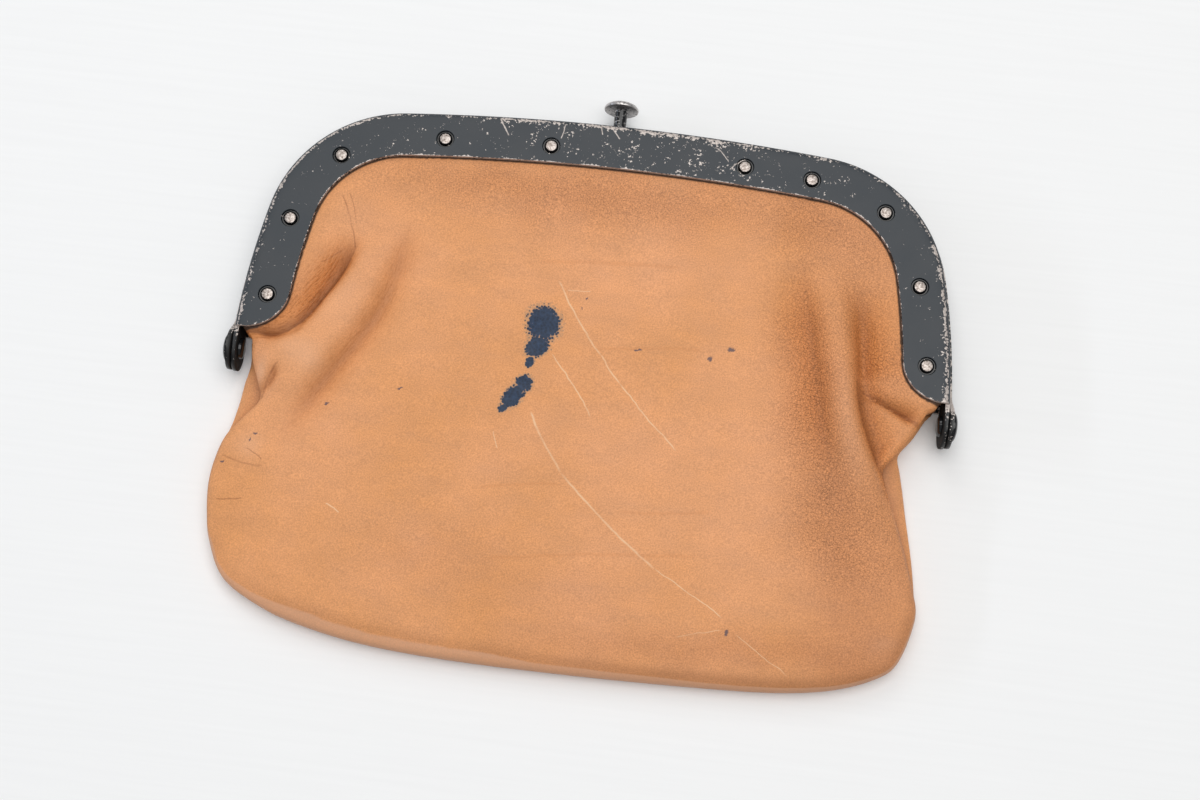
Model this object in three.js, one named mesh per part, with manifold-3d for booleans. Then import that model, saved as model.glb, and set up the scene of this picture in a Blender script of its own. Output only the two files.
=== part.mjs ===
// A money pouch lying on its back: a tan leather bag riveted into a hinged arch frame of black-painted
// pressed steel, with a push button in the middle of the top edge.
// Millimetres, +Z up. x runs across the pouch and y towards the button. All y values are measured from
// the top edge of the frame, and the last group puts the origin under the middle of the whole pouch.
import * as THREE from "three";
import { mergeVertices } from "three/addons/utils/BufferGeometryUtils.js";
import Module from "manifold-3d";

// Frame: the outline from the middle of the top edge to the hinge is three tangent arcs.
const OUTLINE_ARCS = [
  { part: "crown", radius: 690, turn: 5.4, steps: 3 },
  { part: "corner", radius: 42, turn: 73.7, steps: 7 },
  { part: "side", radius: 236, turn: 10.9, steps: 3 },
];
const SHEET = 1.2;
const BEND_RADIUS = 2;
const PLATE_WIDTH = 14.2;
const PLATE_END_ABOVE_HINGE = 5.4;
const PLATE_END_ROUND = 12.4;
const RIM_DEPTH = 8.3;
const EAR_RADIUS = 6.7;
const BACK_FACE = 0.3;
const FRAME_THICKNESS = 15;
const FRONT_FACE = BACK_FACE + FRAME_THICKNESS;
const MID_DEPTH = FRAME_THICKNESS / 2;
const MIDDLE = BACK_FACE + MID_DEPTH;

// Clearance between neighbouring pieces. The back half is larger all round and laps over the front one.
const GAP = 0.3;
const BACK_OUTSET = SHEET + GAP;

// Rivets: a domed head in a shallow recess, a shank through plate and leather, a clenched inner end.
const RIVET_SIDES = 8;
const RIVET = { head: 2.1, crown: 0.3, shank: 1.3, clench: 2.4, clenchHeight: 0.8 };
const RECESS = { mouth: 2.8, floor: 2.5, depth: 0.6 };
const RIVET_PLACES = [
  { x: -98.1, y: -65.8 },
  { x: -95.1, y: -41.3 },
  { x: -82.8, y: -19.5 },
  { x: -52.1, y: -10.7 },
  { x: -19.7, y: -9.3 },
  { x: 39.6, y: -9.4 },
  { x: 60.2, y: -11.3 },
  { x: 83.2, y: -19.3 },
  { x: 95.0, y: -41.5 },
  { x: 98.7, y: -65.7 },
];

const HINGE = { head: 4.4, dome: 1.7, headEdge: 0.4, shank: 1.8, clench: 3.2, clenchHeight: 0.9, sides: 12 };
const BUTTON = { cap: 5.35, capEdge: 8, edgeHeight: 0.5, dome: 2.1, stem: 1.95, collar: 3.6, sides: 14 };
const BUTTON_TOP = BUTTON.capEdge + BUTTON.dome;
const COLLAR_HEIGHT = 1.4;
const STEM_TAIL = 4;

// Leather: two panels. Inside the frame each lies flat against its plate.
const LEATHER = 1.5;
const LEATHER_EDGE_INSET = 2;
const LEATHER_BORDER = 2.5;
const PLATE_TO_LEATHER = SHEET + GAP + LEATHER / 2;
const FRONT_LEVEL = FRONT_FACE - PLATE_TO_LEATHER;
const BACK_LEVEL = BACK_FACE + PLATE_TO_LEATHER;
const FLAT_LEVEL = LEATHER / 2;
const SEAM_GAP = 0.15;
const BAG_BOTTOM = -165.4;

// Sections down the sides of the bag. For each y: the heights above the table of the front panel's edge, the
// seam and the back panel's edge, how far the seam is tucked in, and the x of those lines on each side. Near
// the hinges the seam lies deeper than both edges.
const SIDE_SECTIONS = [
  { y: -79, frontZ: 11.2, seamZ: 7.4, backZ: 3.6, tuck: 1,
    leftFront: -100.5, leftBack: -102.2, leftSeam: -97.5,
    rightFront: 99.6, rightBack: 100.6, rightSeam: 96.5 },
  { y: -85, frontZ: 10.3, seamZ: 7.0, backZ: 3.8, tuck: 1,
    leftFront: -99.6, leftBack: -101.4, leftSeam: -95.5,
    rightFront: 96.5, rightBack: 97.4, rightSeam: 92.0 },
  { y: -91, frontZ: 9.8, seamZ: 6.6, backZ: 3.8, tuck: 1,
    leftFront: -97.2, leftBack: -102.2, leftSeam: -92.6,
    rightFront: 92.3, rightBack: 93.2, rightSeam: 87.2 },
  { y: -97, frontZ: 9.5, seamZ: 6.3, backZ: 3.6, tuck: 1,
    leftFront: -95.6, leftBack: -102.8, leftSeam: -91.2,
    rightFront: 88.4, rightBack: 94.2, rightSeam: 83.8 },
  { y: -103, frontZ: 9.2, seamZ: 5.9, backZ: 3.3, tuck: 1,
    leftFront: -99.8, leftBack: -103.9, leftSeam: -95.6,
    rightFront: 89.6, rightBack: 95.5, rightSeam: 85.0 },
  { y: -109, frontZ: 8.5, seamZ: 5.3, backZ: 2.9, tuck: 1,
    leftFront: -104.2, leftBack: -105.4, leftSeam: -101.2,
    rightFront: 92.1, rightBack: 96.7, rightSeam: 88.2 },
  { y: -116, frontZ: 7.3, seamZ: 4.7, backZ: 2.4, tuck: 1,
    leftFront: -106.5, leftBack: -106.8, leftSeam: -105.4,
    rightFront: 94.9, rightBack: 98.3, rightSeam: 92.2 },
  { y: -123, frontZ: 6.4, seamZ: 4.2, backZ: 2.0, tuck: 0.9,
    leftFront: -107.3, leftBack: -107.3, leftSeam: -107.2,
    rightFront: 97.4, rightBack: 99.6, rightSeam: 95.8 },
  { y: -131, frontZ: 5.8, seamZ: 3.8, backZ: 1.8, tuck: 0.5,
    leftFront: -106.5, leftBack: -106.5, leftSeam: -106.5,
    rightFront: 99.8, rightBack: 100.7, rightSeam: 99.3 },
  { y: -139, frontZ: 5.4, seamZ: 3.5, backZ: 1.7, tuck: 0,
    leftFront: -104.6, leftBack: -104.6, leftSeam: -104.6,
    rightFront: 101.2, rightBack: 101.2, rightSeam: 101.2 },
];

// The bottom edge, from the middle of the round left corner to the middle of the right one.
const BOTTOM_EDGE = [
  { x: -97.6, y: -150.8 },
  { x: -86.8, y: -156.5 },
  { x: -75, y: -159.4 },
  { x: -56, y: -163 },
  { x: -30, y: -164.9 },
  { x: 5, y: BAG_BOTTOM },
  { x: 40, y: -164.8 },
  { x: 63, y: -163.7 },
  { x: 79, y: -161.3 },
  { x: 91, y: -157 },
  { x: 96.8, y: -152.4 },
];

// Height of the middle of the front panel down the bag.
const CREST_SECTIONS = [
  { y: 0, z: FRONT_LEVEL },
  { y: -30, z: 12.9 },
  { y: -60, z: 12.5 },
  { y: -90, z: 11.9 },
  { y: -115, z: 11.0 },
  { y: -140, z: 9.6 },
  { y: -170, z: 7.6 },
];
const FRONT_EDGE_ROUND = 19;
const BACK_EDGE_ROUND = 9;
const FRONT_RELEASE = { heldTo: 1, freeFrom: -5 };
const BACK_RELEASE = { heldTo: -5, freeFrom: -15 };

// Folds of the front panel: a bent line from, by way of a middle point, to its end.
const FOLDS = [
  { name: "left ridge", from: [-67, -36], via: [-78, -67], to: [-96, -96], rise: 2.3, width: 5.5 },
  { name: "left outer valley", from: [-76, -43], via: [-88, -61], to: [-99, -78], rise: -3.6, width: 6 },
  { name: "left inner valley", from: [-62, -42], via: [-67, -81], to: [-93, -112], rise: -1.8, width: 5.5 },
  { name: "right ridge", from: [70, -39], via: [71, -67], to: [86, -93], rise: 2.2, width: 5 },
  { name: "right inner valley", from: [59, -34], via: [60, -76], to: [76, -109], rise: -1.8, width: 7 },
  { name: "right outer valley", from: [85, -43], via: [78, -69], to: [95, -83], rise: -3.6, width: 5.5 },
];

const COLOURS = { paint: 0x3b3d41, steel: 0xb5aea9, leather: 0xcf935f };

const wasm = await Module();
wasm.setup();

const radians = THREE.MathUtils.degToRad;
const { smoothstep, lerp, clamp } = THREE.MathUtils;

// Closed solids for joining and cutting

function solidOf(geometry) {
  const bare = geometry.clone();
  bare.deleteAttribute("normal");
  bare.deleteAttribute("uv");
  const merged = mergeVertices(bare, 1e-4);
  const vertProperties = new Float32Array(merged.attributes.position.array);
  const triVerts = new Uint32Array(merged.index.array);
  return new wasm.Manifold(new wasm.Mesh({ numProp: 3, vertProperties, triVerts }));
}

function cut(geometry, tools) {
  const left = tools.reduce((solid, tool) => solid.subtract(solidOf(tool)), solidOf(geometry));
  const { vertProperties, triVerts } = left.getMesh();
  return indexed(vertProperties, triVerts);
}

function indexed(coordinates, triangles) {
  const geometry = new THREE.BufferGeometry();
  geometry.setAttribute("position", new THREE.Float32BufferAttribute(coordinates, 3));
  geometry.setIndex(Array.from(triangles));
  return geometry;
}

function turned(profile, sides) {
  return new THREE.LatheGeometry(profile.map(([radius, along]) => new THREE.Vector2(radius, along)), sides);
}

function rod(radius, length, sides) {
  return new THREE.CylinderGeometry(radius, radius, length, sides);
}

function interpolate(sections, column, y) {
  const last = sections.length - 1;
  if (y >= sections[0].y) return sections[0][column];
  if (y <= sections[last].y) return sections[last][column];
  const next = sections.findIndex((section) => section.y < y);
  const [above, below] = [sections[next - 1], sections[next]];
  return lerp(above[column], below[column], (above.y - y) / (above.y - below.y));
}

// Frame outline

const ARC_LENGTHS = OUTLINE_ARCS.map(({ radius, turn }) => radius * radians(turn));
const HINGE_ALONG = ARC_LENGTHS.reduce((sum, length) => sum + length);
const PLATE_END_ALONG = HINGE_ALONG - PLATE_END_ABOVE_HINGE;

// The point at a distance along the outline from the middle of the top edge, moved inwards by inset.
function outlineAt(along, inset = 0) {
  const side = along < 0 ? -1 : 1;
  let left = Math.abs(along);
  let heading = 0;
  let x = 0;
  let y = 0;
  for (const { radius, turn } of OUTLINE_ARCS) {
    const step = Math.min(left / radius, radians(turn));
    x += radius * (Math.sin(heading + step) - Math.sin(heading));
    y -= radius * (Math.cos(heading) - Math.cos(heading + step));
    heading += step;
    left -= step * radius;
  }
  return { x: side * (x - inset * Math.sin(heading)), y: y - left - inset * Math.cos(heading) };
}

const HINGE_POINT = outlineAt(HINGE_ALONG);
const PLATE_END_Y = outlineAt(PLATE_END_ALONG).y;

// Frame halves: one L-shaped section swept along the arch, which thins to the ear past the plate's end

function rimDepth(along) {
  const reach = EAR_RADIUS ** 2 - (along - HINGE_ALONG) ** 2;
  return Math.max(RIM_DEPTH, MID_DEPTH + Math.sqrt(Math.max(reach, 0)));
}

function plateSection(along, plateWidth) {
  const start = PLATE_END_ALONG - PLATE_END_ROUND;
  const ended = clamp((along - start) / PLATE_END_ROUND, 0, 1);
  const narrowest = BEND_RADIUS + GAP;
  const width = lerp(narrowest, plateWidth, Math.sqrt(1 - ended ** 2));
  const bend = BEND_RADIUS * (1 - Math.SQRT1_2);
  const rim = rimDepth(along);
  return [
    [0, rim], [0, BEND_RADIUS], [bend, bend], [BEND_RADIUS, 0], [width, 0],
    [width, SHEET], [BEND_RADIUS, SHEET], [SHEET, BEND_RADIUS], [SHEET, rim],
  ];
}

function earSection(along) {
  const below = Math.max(along - HINGE_ALONG, 0);
  const half = Math.sqrt(EAR_RADIUS ** 2 - below ** 2);
  const front = MID_DEPTH - half;
  const back = below > 0 ? MID_DEPTH + half : rimDepth(along);
  const near = front + (back - front) / 8;
  const nearer = front + (back - front) / 16;
  return [
    [0, back], [0, near], [0, nearer], [0, front], [SHEET / 2, front],
    [SHEET, front], [SHEET, nearer], [SHEET, near], [SHEET, back],
  ];
}

function halfStations() {
  const stations = [];
  let start = 0;
  OUTLINE_ARCS.forEach(({ part, steps }, arc) => {
    const length = part === "side" ? PLATE_END_ALONG - PLATE_END_ROUND - start : ARC_LENGTHS[arc];
    for (let step = 0; step < steps; step++) stations.push({ along: start + (length * step) / steps });
    start += length;
  });
  for (const share of [0, 0.5, 0.8, 0.95, 1]) stations.push({ along: start + PLATE_END_ROUND * share });
  stations.push({ along: PLATE_END_ALONG + GAP, ear: true });
  for (const degrees of [-30, 0, 30, 55, 78]) {
    stations.push({ along: HINGE_ALONG + EAR_RADIUS * Math.sin(radians(degrees)), ear: true });
  }
  return stations;
}

function frameHalf(face, inwards, outset) {
  const right = halfStations();
  const left = right.slice(1).reverse().map((station) => ({ ...station, along: -station.along }));
  const coordinates = [];
  const triangles = [];
  const rows = [...left, ...right].map(({ along, ear }) => {
    const distance = Math.abs(along);
    const section = ear ? earSection(distance) : plateSection(distance, PLATE_WIDTH + outset);
    return section.map(([inset, depth]) => {
      const { x, y } = outlineAt(along, inset - outset);
      return coordinates.push(x, y, face + inwards * depth) / 3 - 1;
    });
  });
  const addFace = (a, b, c) => triangles.push(...(inwards < 0 ? [a, b, c] : [a, c, b]));
  for (let row = 0; row + 1 < rows.length; row++) {
    const count = rows[row].length;
    for (let point = 0; point < count; point++) {
      const next = (point + 1) % count;
      addFace(rows[row][point], rows[row][next], rows[row + 1][point]);
      addFace(rows[row][next], rows[row + 1][next], rows[row + 1][point]);
    }
  }
  closeEnd(rows[0], false);
  closeEnd(rows.at(-1), true);
  return indexed(coordinates, triangles);

  function closeEnd(row, last) {
    const corners = row.map((point) => new THREE.Vector3().fromArray(coordinates, point * 3));
    const sum = corners.reduce((total, corner) => total.add(corner), new THREE.Vector3());
    const { x, y, z } = sum.divideScalar(row.length);
    const middle = coordinates.push(x, y, z) / 3 - 1;
    row.forEach((point, index) => {
      const next = row[(index + 1) % row.length];
      if (last) addFace(point, next, middle);
      else addFace(next, point, middle);
    });
  }
}

function frameCuts(face, inwards) {
  const through = SHEET + GAP;
  const hole = RIVET.shank + GAP;
  const recesses = RIVET_PLACES.map(({ x, y }) =>
    turned(
      [[0, -through], [hole, -through], [hole, -RECESS.depth], [RECESS.floor, -RECESS.depth],
        [RECESS.mouth, 0], [RECESS.mouth, GAP], [0, GAP]],
      RIVET_SIDES,
    ).rotateX((-inwards * Math.PI) / 2).translate(x, y, face));
  const reach = 2 * (HINGE_POINT.x + BACK_OUTSET + HINGE.dome);
  const hingeHole = rod(HINGE.shank + GAP, reach, HINGE.sides)
    .rotateZ(Math.PI / 2).translate(0, HINGE_POINT.y, MIDDLE);
  const stemHole = rod(BUTTON.stem + GAP, 2 * RIM_DEPTH, BUTTON.sides).translate(0, 0, MIDDLE);
  return [...recesses, hingeHole, stemHole];
}

// Rivets and button

function rivet() {
  const seat = -GAP;
  const inside = -(PLATE_TO_LEATHER + LEATHER / 2 + GAP);
  return turned(
    [[0, inside - RIVET.clenchHeight], [RIVET.clench, inside - RIVET.clenchHeight / 2],
      [RIVET.clench, inside], [RIVET.shank, inside], [RIVET.shank, seat], [RIVET.head, seat],
      [RIVET.head * 0.7, RIVET.crown * 0.6],
      [0, RIVET.crown]],
    RIVET_SIDES,
  );
}

// Along the hinge, from the inner face of the front ear.
function hingeRivet() {
  const outside = 2 * SHEET + 2 * GAP;
  return turned(
    [[0, -GAP - HINGE.clenchHeight], [HINGE.clench * 0.8, -GAP - HINGE.clenchHeight], [HINGE.clench, -GAP],
      [HINGE.shank, -GAP], [HINGE.shank, outside], [HINGE.head, outside],
      [HINGE.head * 0.97, outside + HINGE.headEdge],
      [HINGE.head * 0.72, outside + HINGE.dome * 0.75], [HINGE.head * 0.36, outside + HINGE.dome * 0.95],
      [0, outside + HINGE.dome]],
    HINGE.sides,
  );
}

function pushButton() {
  const collarTop = -SHEET - GAP;
  const collarFloor = collarTop - COLLAR_HEIGHT;
  const { cap, capEdge, dome, edgeHeight, stem, collar } = BUTTON;
  return turned(
    [[0, collarFloor - STEM_TAIL], [stem, collarFloor - STEM_TAIL], [stem, collarFloor],
      [collar, collarFloor], [collar, collarTop], [stem, collarTop], [stem, capEdge - edgeHeight],
      [cap * 0.94, capEdge - edgeHeight], [cap, capEdge], [cap * 0.86, capEdge + dome * 0.48],
      [cap * 0.5, capEdge + dome * 0.87], [0, BUTTON_TOP]],
    BUTTON.sides,
  );
}

// Leather panels: a grid between four edges, raised to its height and given its thickness

const TOP_CORNER_ALONG = ARC_LENGTHS[0] + ARC_LENGTHS[1] / 2;
const BORDER_INSET = LEATHER_EDGE_INSET + LEATHER_BORDER;
const ARCH_POINTS = 24;
const FRAME_LINE = Array.from({ length: 61 }, (_, index) => outlineAt(PLATE_END_ALONG * (index / 30 - 1)));

function archEdge(fromAlong, toAlong, count) {
  return Array.from({ length: count + 1 }, (_, index) => {
    const { x, y } = outlineAt(lerp(fromAlong, toAlong, index / count), BORDER_INSET);
    return new THREE.Vector2(x, y);
  });
}

// The four edges of a panel in plan: along the crown, down each side and along the bottom.
function panelEdges(leftColumn, rightColumn) {
  const bottom = BOTTOM_EDGE.map(({ x, y }) => new THREE.Vector2(x, y));
  const side = (sign, column, corner) => [
    ...archEdge(sign * TOP_CORNER_ALONG, sign * PLATE_END_ALONG, 6),
    ...SIDE_SECTIONS.map((section) => new THREE.Vector2(section[column], section.y)),
    corner,
  ];
  return {
    top: new THREE.SplineCurve(archEdge(-TOP_CORNER_ALONG, TOP_CORNER_ALONG, ARCH_POINTS)),
    left: new THREE.SplineCurve(side(-1, leftColumn, bottom[0])),
    right: new THREE.SplineCurve(side(1, rightColumn, bottom.at(-1))),
    bottom: new THREE.SplineCurve(bottom),
  };
}

// Point of the plan at shares u across and v down, blended from the four edges.
function planPoint({ top, left, right, bottom }, u, v) {
  const [t, b] = [top.getPointAt(u), bottom.getPointAt(u)];
  const [l, r] = [left.getPointAt(v), right.getPointAt(v)];
  const [tl, bl] = [left.getPointAt(0), left.getPointAt(1)];
  const [tr, br] = [right.getPointAt(0), right.getPointAt(1)];
  const blend = (axis) =>
    lerp(t[axis], b[axis], v) + lerp(l[axis], r[axis], u) -
    lerp(lerp(tl[axis], tr[axis], u), lerp(bl[axis], br[axis], u), v);
  return { x: blend("x"), y: blend("y") };
}

function distanceTo(points, x, y) {
  return Math.sqrt(Math.min(...points.map((point) => (point.x - x) ** 2 + (point.y - y) ** 2)));
}

function foldRise(x, y) {
  return FOLDS.reduce((sum, { from, via, to, rise, width }) => {
    const ends = [from, via, to].map((point) => new THREE.Vector2(...point));
    const line = new THREE.QuadraticBezierCurve(...ends).getPoints(16);
    return sum + rise * Math.exp(-((distanceTo(line, x, y) / width) ** 2));
  }, 0);
}

// How far the leather is held by the plate: 1 under the plate, 0 where it is free. Past the plate's ends it
// comes free between two heights.
function heldByPlate(x, y, { heldTo, freeFrom }) {
  const inset = distanceTo(FRAME_LINE, x, y);
  const clear = smoothstep(inset, PLATE_WIDTH + 1, PLATE_WIDTH + 11);
  return (1 - clear) * smoothstep(y, PLATE_END_Y + freeFrom, PLATE_END_Y + heldTo);
}

function roundedRise(distance, reach) {
  return Math.sqrt(1 - (1 - Math.min(distance / reach, 1)) ** 2);
}

function frontHeight(x, y, fromEdge) {
  const edge = interpolate(SIDE_SECTIONS, "frontZ", y);
  const crest = interpolate(CREST_SECTIONS, "z", y);
  const rise = roundedRise(fromEdge, FRONT_EDGE_ROUND);
  const free = lerp(edge, crest, rise) + foldRise(x, y) * smoothstep(fromEdge, 0, 8);
  return lerp(free, FRONT_LEVEL, heldByPlate(x, y, FRONT_RELEASE));
}

function backHeight(x, y, fromEdge) {
  const edge = interpolate(SIDE_SECTIONS, "backZ", y);
  const free = lerp(edge, FLAT_LEVEL, roundedRise(fromEdge, BACK_EDGE_ROUND));
  return lerp(free, BACK_LEVEL, heldByPlate(x, y, BACK_RELEASE));
}

// Shares of a grid's lines, closer together towards both ends.
function gridShares(count) {
  return Array.from({ length: count + 1 }, (_, index) => {
    const share = index / count;
    return lerp(share, (1 - Math.cos(Math.PI * share)) / 2, 0.55);
  });
}

// The border row outside an edge point: flat under the plate, or turned in to the seam below it.
function borderPoint(curve, share, { seamColumn, level, seamSide }) {
  const { x, y } = curve.getPointAt(share);
  if (y > PLATE_END_Y) {
    const tangent = curve.getTangentAt(share);
    const outwards = Math.sign(tangent.y * x - tangent.x * (y - BAG_BOTTOM / 2));
    return [x + outwards * tangent.y * LEATHER_BORDER, y - outwards * tangent.x * LEATHER_BORDER, level];
  }
  const tuck = interpolate(SIDE_SECTIONS, "tuck", y);
  const clearance = SEAM_GAP + (tuck * LEATHER) / 2;
  const seamX = seamColumn ? interpolate(SIDE_SECTIONS, seamColumn, y) : x;
  const seam = y > SIDE_SECTIONS.at(-1).y ? seamX : x;
  return [seam, y, interpolate(SIDE_SECTIONS, "seamZ", y) + seamSide * clearance];
}

function leatherPanel({ columns: [leftColumn, rightColumn], height, level, seamSide, across, down }) {
  const edges = panelEdges(leftColumn, rightColumn);
  const seamLine = ["left", "bottom", "right"].flatMap((name) => edges[name].getSpacedPoints(80))
    .filter(({ y }) => y < PLATE_END_Y);
  const columns = gridShares(across);
  const rows = gridShares(down);
  const border = (name, share, seamColumn) =>
    borderPoint(edges[name], share, { seamColumn, level, seamSide });
  const inner = rows.map((v) => [
    border("left", v, "leftSeam"),
    ...columns.map((u) => {
      const { x, y } = planPoint(edges, u, v);
      return [x, y, height(x, y, distanceTo(seamLine, x, y))];
    }),
    border("right", v, "rightSeam"),
  ]);
  const edgeRow = (name) => {
    const points = columns.map((u) => border(name, u));
    return [points[0], ...points, points.at(-1)];
  };
  return thicken(gridSurface([edgeRow("top"), ...inner, edgeRow("bottom")]), LEATHER);
}

// A surface through rows of points, seen from above with its rows running down the bag.
function gridSurface(points) {
  const width = points[0].length;
  const flat = points.flat();
  const quads = [];
  for (let row = 0; row + 1 < points.length; row++) {
    for (let column = 0; column + 1 < width; column++) {
      const [a, b] = [row * width + column, row * width + column + 1];
      const [c, d] = [a + width, b + width];
      const corners = [a, b, c, d].map((index) => new THREE.Vector3(...flat[index]));
      const fallsRight = corners[0].distanceTo(corners[3]) <= corners[1].distanceTo(corners[2]);
      quads.push(...(fallsRight ? [a, c, d, a, d, b] : [a, c, b, b, c, d]));
    }
  }
  return mergeVertices(indexed(flat.flat(), quads), 1e-3);
}

function thicken(surface, thickness) {
  surface.computeVertexNormals();
  const { position, normal } = surface.attributes;
  const count = position.count;
  const coordinates = [];
  for (const side of [thickness / 2, -thickness / 2]) {
    for (let index = 0; index < count; index++) {
      const point = new THREE.Vector3().fromBufferAttribute(position, index);
      point.addScaledVector(new THREE.Vector3().fromBufferAttribute(normal, index), side);
      coordinates.push(...point.toArray());
    }
  }
  const triangles = [];
  const openEdges = new Map();
  const corners = Array.from(surface.index.array);
  for (let first = 0; first < corners.length; first += 3) {
    const [a, b, c] = corners.slice(first, first + 3);
    if (a === b || b === c || c === a) continue;
    triangles.push(a, b, c, a + count, c + count, b + count);
    for (const [from, to] of [[a, b], [b, c], [c, a]]) {
      if (!openEdges.delete(`${to} ${from}`)) openEdges.set(`${from} ${to}`, [from, to]);
    }
  }
  for (const [from, to] of openEdges.values()) {
    triangles.push(from, from + count, to, to, from + count, to + count);
  }
  return indexed(coordinates, triangles);
}

function leatherHoles(level) {
  const radius = RIVET.shank + GAP;
  return RIVET_PLACES.map(({ x, y }) =>
    rod(radius, 4 * LEATHER, RIVET_SIDES).rotateX(Math.PI / 2).translate(x, y, level));
}

// The assembled pouch

function piece(name, geometry, finish) {
  const mesh = new THREE.Mesh(geometry, new THREE.MeshStandardMaterial(finish));
  mesh.name = name;
  return mesh;
}

const paint = { color: COLOURS.paint, roughness: 0.5, metalness: 0.1 };
const steel = { color: COLOURS.steel, roughness: 0.35, metalness: 1 };
const leather = { color: COLOURS.leather, roughness: 0.65, metalness: 0 };

const pouch = new THREE.Group();

const halves = [
  { name: "front", face: FRONT_FACE, inwards: -1, outset: 0, level: FRONT_LEVEL },
  { name: "back", face: BACK_FACE, inwards: 1, outset: BACK_OUTSET, level: BACK_LEVEL },
];
const panels = {
  front: { columns: ["leftFront", "rightFront"], height: frontHeight, seamSide: 1, across: 31, down: 23 },
  back: { columns: ["leftBack", "rightBack"], height: backHeight, seamSide: -1, across: 18, down: 15 },
};

for (const { name, face, inwards, outset, level } of halves) {
  const half = cut(frameHalf(face, inwards, outset), frameCuts(face, inwards));
  pouch.add(piece(`frame_${name}`, half, paint));
  const panel = leatherPanel({ ...panels[name], level });
  pouch.add(piece(`leather_${name}`, cut(panel, leatherHoles(level)), leather));
  RIVET_PLACES.forEach(({ x, y }, index) => {
    const mesh = piece(`rivet_${name}_${index + 1}`, rivet(), steel);
    mesh.rotation.x = (-inwards * Math.PI) / 2;
    mesh.position.set(x, y, face);
    pouch.add(mesh);
  });
}

for (const [name, side] of [["left", -1], ["right", 1]]) {
  const mesh = piece(`hinge_rivet_${name}`, hingeRivet(), paint);
  mesh.rotation.z = (-side * Math.PI) / 2;
  mesh.position.set(side * (HINGE_POINT.x - SHEET), HINGE_POINT.y, MIDDLE);
  pouch.add(mesh);
}

const button = piece("push_button", pushButton(), paint);
button.position.z = MIDDLE;
pouch.add(button);

const bagEnd = BAG_BOTTOM - LEATHER / 2;
pouch.position.y = -(BUTTON_TOP + bagEnd) / 2;

export default pouch;
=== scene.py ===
import math
from functools import partial

import bmesh
import bpy
import numpy as np
from mathutils import Matrix, Vector, noise


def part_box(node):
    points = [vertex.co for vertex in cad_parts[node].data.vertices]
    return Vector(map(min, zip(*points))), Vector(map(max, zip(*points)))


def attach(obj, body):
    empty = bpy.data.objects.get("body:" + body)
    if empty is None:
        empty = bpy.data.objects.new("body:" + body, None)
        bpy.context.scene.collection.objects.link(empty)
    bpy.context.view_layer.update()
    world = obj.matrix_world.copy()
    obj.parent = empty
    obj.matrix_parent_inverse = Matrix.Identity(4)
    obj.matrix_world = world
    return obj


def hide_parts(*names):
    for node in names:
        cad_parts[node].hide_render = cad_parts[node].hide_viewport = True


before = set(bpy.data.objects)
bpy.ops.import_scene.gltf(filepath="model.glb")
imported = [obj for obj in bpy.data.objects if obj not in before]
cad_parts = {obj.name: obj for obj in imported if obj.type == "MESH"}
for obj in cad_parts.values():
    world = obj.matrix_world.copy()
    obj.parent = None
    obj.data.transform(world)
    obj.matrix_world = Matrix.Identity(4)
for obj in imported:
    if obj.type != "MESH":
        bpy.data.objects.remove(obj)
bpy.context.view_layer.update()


# Frame halves
# Each half is pressed from sheet steel: a flat arch plate whose outer edge is bent down into a rim, with an
# ear at each end of the rim for the hinge rivet. The back half laps over the front one. Black stoved enamel
# covers both, chipped along the bend and worn off the cut edges.

MM = 0.001
TOP_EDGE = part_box("frame_front")[1].y / MM
FRONT_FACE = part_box("frame_front")[1].z / MM
BACK_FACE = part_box("frame_back")[0].z / MM
MIDDLE = (FRONT_FACE + BACK_FACE) / 2
GAP = 0.3
SHEET = 1.2
BACK_OUTSET = SHEET + GAP
BEND_RADIUS = 2.0
PLATE_WIDTH = 14.2
PLATE_END_ROUND = 12.4
RIM_DEPTH = 8.3
EAR_DEPTH = 14.2
EAR_RADIUS = (EAR_DEPTH - BEND_RADIUS) / 2
EAR_SHOULDER = (-9, -2)
WORN_EDGE = 0.35

# Radius in mm and turn in degrees of the outline's crown, corner and side, from the middle of the top edge.
OUTLINE_ARCS = ((690, 5.4), (42, 73.7), (236, 10.9))
HINGE_ALONG = sum(radius * math.radians(turn) for radius, turn in OUTLINE_ARCS)
PLATE_END = HINGE_ALONG - 5.4
EAR_END = HINGE_ALONG + 6.7
ENDS_FROM = PLATE_END - PLATE_END_ROUND - 6
RIM_ROWS, BEND_ROWS, PLATE_ROWS = 12, 6, 14
ALONG_STEPS = 220

RIVET_PLACES = (
    (-98.1, -65.8), (-95.1, -41.3), (-82.8, -19.5), (-52.1, -10.7), (-19.7, -9.3),
    (39.6, -9.4), (60.2, -11.3), (83.2, -19.3), (95.0, -41.5), (98.7, -65.7),
)
RIVET_SHANK = 1.3
RECESS_MOUTH, RECESS_FLOOR, RECESS_DEPTH = 2.8, 2.5, 0.6
STEM_RADIUS = 1.95

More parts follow.
